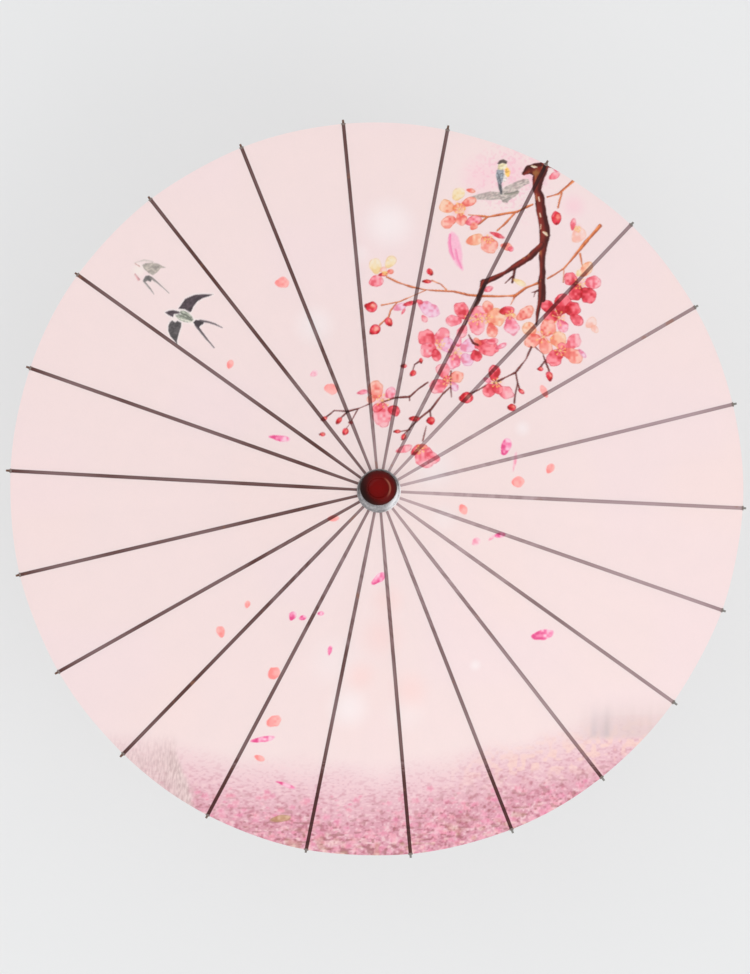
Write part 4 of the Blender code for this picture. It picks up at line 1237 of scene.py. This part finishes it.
def thread_tree():
    """Strands twisted round each other along the path that the object brings."""
    tree = bpy.data.node_groups.new("twisted_thread", "GeometryNodeTree")
    net = Net(tree)
    sockets = {}
    for name, kind in (
        ("Geometry", "NodeSocketGeometry"),
        ("Strand Radius", "NodeSocketFloat"),
        ("Strands", "NodeSocketInt"),
        ("Twist Length", "NodeSocketFloat"),
        ("Step", "NodeSocketFloat"),
        ("Sides", "NodeSocketInt"),
        ("Finish", "NodeSocketMaterial"),
    ):
        sockets[name] = tree.interface.new_socket(name=name, in_out="INPUT", socket_type=kind).identifier
    tree.interface.new_socket(name="Geometry", in_out="OUTPUT", socket_type="NodeSocketGeometry")
    given = tree.nodes.new("NodeGroupInput")
    value = {name: Value(net, given.outputs[name]) for name in sockets}

    path = net.node("GeometryNodeMeshToCurve", {}, {"Mesh": value["Geometry"]})
    even = net.node("GeometryNodeResampleCurve", {"mode": "LENGTH"}, {"Curve": path, "Length": value["Step"]})
    copies = net.node(
        "GeometryNodeDuplicateElements", {"domain": "SPLINE"}, {"Geometry": even, "Amount": value["Strands"]}
    )
    number = Value(net, copies.socket.node.outputs["Duplicate Index"])
    length = net.node("GeometryNodeSplineParameter", output="Length")
    turn = (length / value["Twist Length"] + number / value["Strands"]) * (2 * math.pi)
    normal = net.node("GeometryNodeInputNormal")
    tangent = net.node("GeometryNodeInputTangent")
    side = net.node("ShaderNodeVectorMath", {"operation": "CROSS_PRODUCT"}, {0: tangent, 1: normal})
    lift = turn.math("COSINE") * value["Strand Radius"]
    shift = turn.math("SINE") * value["Strand Radius"]
    lifted = net.node("ShaderNodeVectorMath", {"operation": "SCALE"}, {0: normal, "Scale": lift})
    shifted = net.node("ShaderNodeVectorMath", {"operation": "SCALE"}, {0: side, "Scale": shift})
    offset = net.node("ShaderNodeVectorMath", {"operation": "ADD"}, {0: lifted, 1: shifted})
    twisted = net.node("GeometryNodeSetPosition", {}, {"Geometry": copies, "Offset": offset})
    section = net.node(
        "GeometryNodeCurvePrimitiveCircle",
        {"mode": "RADIUS"},
        {"Resolution": value["Sides"], "Radius": value["Strand Radius"] * 1.06},
    )
    tubes = net.node(
        "GeometryNodeCurveToMesh", {}, {"Curve": twisted, "Profile Curve": section, "Fill Caps": True}
    )
    soft = net.node("GeometryNodeSetShadeSmooth", {}, {"Geometry": tubes})
    real = net.node("GeometryNodeRealizeInstances", {}, {"Geometry": soft})
    finished = net.node("GeometryNodeSetMaterial", {}, {"Geometry": real, "Material": value["Finish"]})
    end = tree.nodes.new("NodeGroupOutput")
    tree.links.new(finished.socket, end.inputs["Geometry"])
    return tree, sockets


def spin_thread(name, paths, radius, material, sides=6, step=None, twist=None):
    """One plain mesh of twisted thread along some paths, through the thread tree."""
    tree, sockets = THREAD_TREE
    guide_mesh = bpy.data.meshes.new(name + "_guide")
    points, edges = [], []
    for path in paths:
        edges += [(len(points) + k, len(points) + k + 1) for k in range(len(path) - 1)]
        points += [tuple(point) for point in path]
    guide_mesh.from_pydata(points, edges, [])
    guide = link(bpy.data.objects.new(name + "_guide", guide_mesh))
    modifier = guide.modifiers.new("thread", "NODES")
    modifier.node_group = tree
    settings = {
        "Strand Radius": radius,
        "Strands": 2,
        "Twist Length": twist or radius * 16,
        "Step": step or radius * 4,
        "Sides": sides,
        "Finish": material,
    }
    for label, value in settings.items():
        modifier[sockets[label]] = value
    depsgraph = bpy.context.evaluated_depsgraph_get()
    mesh = bpy.data.meshes.new_from_object(guide.evaluated_get(depsgraph))
    mesh.name = name
    bpy.data.objects.remove(guide)
    bpy.data.meshes.remove(guide_mesh)
    return link(bpy.data.objects.new(name, mesh))


def on_rib(index, along, side, lift):
    """A point of the frame from its place on a rib: along the rib, sideways, and up from its pivot line."""
    turn = Matrix.Rotation(rib_azimuth(index), 4, "Z") @ Matrix.Translation((HUB_PIVOT.x, 0, HUB_PIVOT.z))
    return turn @ Matrix.Rotation(SLOPE, 4, "Y") @ Vector((along, side, lift))


def winding(index, start, turns, pitch, half_width, low, high):
    """A thread's path round a rib's square section."""
    corners = []
    radius = 0.0004
    for side, lift, first in ((1, 1, 0), (-1, 1, 90), (-1, -1, 180), (1, -1, 270)):
        middle = (side * (half_width - radius), (high - radius) if lift > 0 else (low + radius))
        for step in range(4):
            angle = math.radians(first + step * 30)
            corners.append((middle[0] + radius * math.cos(angle), middle[1] + radius * math.sin(angle)))
    path = []
    for step in range(turns * len(corners) + 1):
        side, lift = corners[step % len(corners)]
        path.append(on_rib(index, start + step / len(corners) * pitch, side, lift))
    return path


def add_rib_threads(index, brown, red):
    """The binding at a rib's tip, two whippings near its middle, and its share of the rim's thread."""
    slant = math.cos(SLOPE)
    edge = paper_edge(np.array([rib_azimuth(index)]))[0]
    at_edge = (edge - HUB_PIVOT.x) / slant
    over_paper = RIB_TOP + GLUE / slant + PAPER_THICKNESS + 0.0001
    path = winding(index, at_edge - 0.0026, 5, 0.00048, 0.00235, WINDING_LOW, over_paper)
    binding = spin_thread(f"tip_binding_{index:02d}", [path], TIP_STRAND, brown)
    middle = (MIDDLE_PIVOT.x - HUB_PIVOT.x) / slant
    paths = [
        winding(index, middle + offset, 7, 0.00044, 0.00250, WINDING_LOW, WINDING_HIGH)
        for offset in (-0.0118, 0.0205)
    ]
    whipping = spin_thread(f"middle_whipping_{index:02d}", paths, FINE_STRAND, red)
    for piece in (binding, whipping):
        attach(piece, f"rib_{index:02d}")
    share = np.linspace(-1, 1, 90)
    azimuth = rib_azimuth(index) + share * HALF_PANEL
    radius = paper_edge(azimuth) - RIM_INSET
    height = paper_height(radius, azimuth, share) - RIM_DROP
    path = np.stack([radius * np.cos(azimuth), radius * np.sin(azimuth), height], axis=1)
    thread = spin_thread(f"rim_thread_{index:02d}", [path], FINE_STRAND, brown, 5, 0.0008, 0.003)
    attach(thread, f"rib_{index:02d}")
    fold_flat(thread)


def dress(node, material):
    """A CAD node keeps its shape and takes a finish."""
    mesh = bpy.data.objects[node].data
    mesh.materials.clear()
    mesh.materials.append(material)


def floor_material():
    recipe = Recipe("studio_floor")
    grain = recipe.noise(recipe.place(), 3.0, 2.0)
    colour = recipe.mix(grain, (0.375, 0.375, 0.37), (0.39, 0.39, 0.385))
    lifted = {"Emission_Color": (0.9, 0.9, 0.9, 1), "Emission_Strength": 0.425}
    return recipe.finish(recipe.principled(Base_Color=colour, Roughness=0.9, **lifted))


def add_floor():
    mesh = bpy.data.meshes.new("floor")
    bm = bmesh.new()
    bmesh.ops.create_grid(bm, x_segments=8, y_segments=8, size=9)
    bm.to_mesh(mesh)
    bm.free()
    mesh.materials.append(floor_material())
    floor = link(bpy.data.objects.new("floor", mesh))
    floor.location.z = cad_box[0][2]


def add_studio():
    world = bpy.data.worlds.new("studio")
    world.use_nodes = True
    background = world.node_tree.nodes["Background"]
    background.inputs["Color"].default_value = (0.95, 0.97, 1.0, 1)
    background.inputs["Strength"].default_value = 1.06
    bpy.context.scene.world = world
    add_area_light("big_soft_light", (1.5, -1.7, 3.2), (0, 0, 0.3), 3.2, 27)
    add_area_light("fill_light", (-2.2, 1.6, 2.6), (0, 0, 0.3), 3.0, 8)
    bpy.context.scene.view_settings.view_transform = "Standard"


add_camera()
add_studio()
add_floor()

BAMBOO = bamboo_material()
TURNED = turned_wood_material("oiled_turned_wood", (0.060, 0.026, 0.012), (0.24, 0.12, 0.058), 0.42, 0.15)
SHAFT_WOOD = turned_wood_material("polished_shaft_wood", (0.10, 0.045, 0.020), (0.36, 0.20, 0.095), 0.35, 0.2)
PEG_WOOD = turned_wood_material("peg_bamboo", (0.30, 0.18, 0.08), (0.55, 0.38, 0.20), 0.5)
FERRULE = metal_material("dull_grey_ferrule", (0.50, 0.475, 0.48), 0.5, 0.45, bright=(0.98, 0.97, 0.97))
STEEL = metal_material("drawn_steel_wire", (0.52, 0.51, 0.50), 0.38, 0.30)
CAP_LOW, CAP_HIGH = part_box("cap")
cap_middle = (CAP_LOW + CAP_HIGH) / 2
LACQUER = lacquer_material(cap_middle.x, cap_middle.y)
OILED_PAPER = paper_material()

add_gores(OILED_PAPER)
THREAD_TREE = thread_tree()
BROWN_THREAD = thread_material("waxed_brown_thread", (0.16, 0.115, 0.10), (0.36, 0.29, 0.26))
RED_THREAD = thread_material("waxed_red_thread", (0.20, 0.020, 0.018), (0.42, 0.06, 0.05))
for number in range(RIB_COUNT):
    add_rib_threads(number, BROWN_THREAD, RED_THREAD)
add_cap(LACQUER)
add_collar(FERRULE)

for number in range(RIB_COUNT):
    dress(f"rib_{number:02d}", BAMBOO)
    dress(f"stretcher_{number:02d}", BAMBOO)
for turned in ("top_hub", "runner", "grip"):
    dress(turned, TURNED)
dress("shaft", SHAFT_WOOD)
for peg in ("grip_peg", "hub_peg"):
    dress(peg, PEG_WOOD)
for wire in ("hub_wire", "runner_wire", "catch_pin", "catch_spring"):
    dress(wire, STEEL)
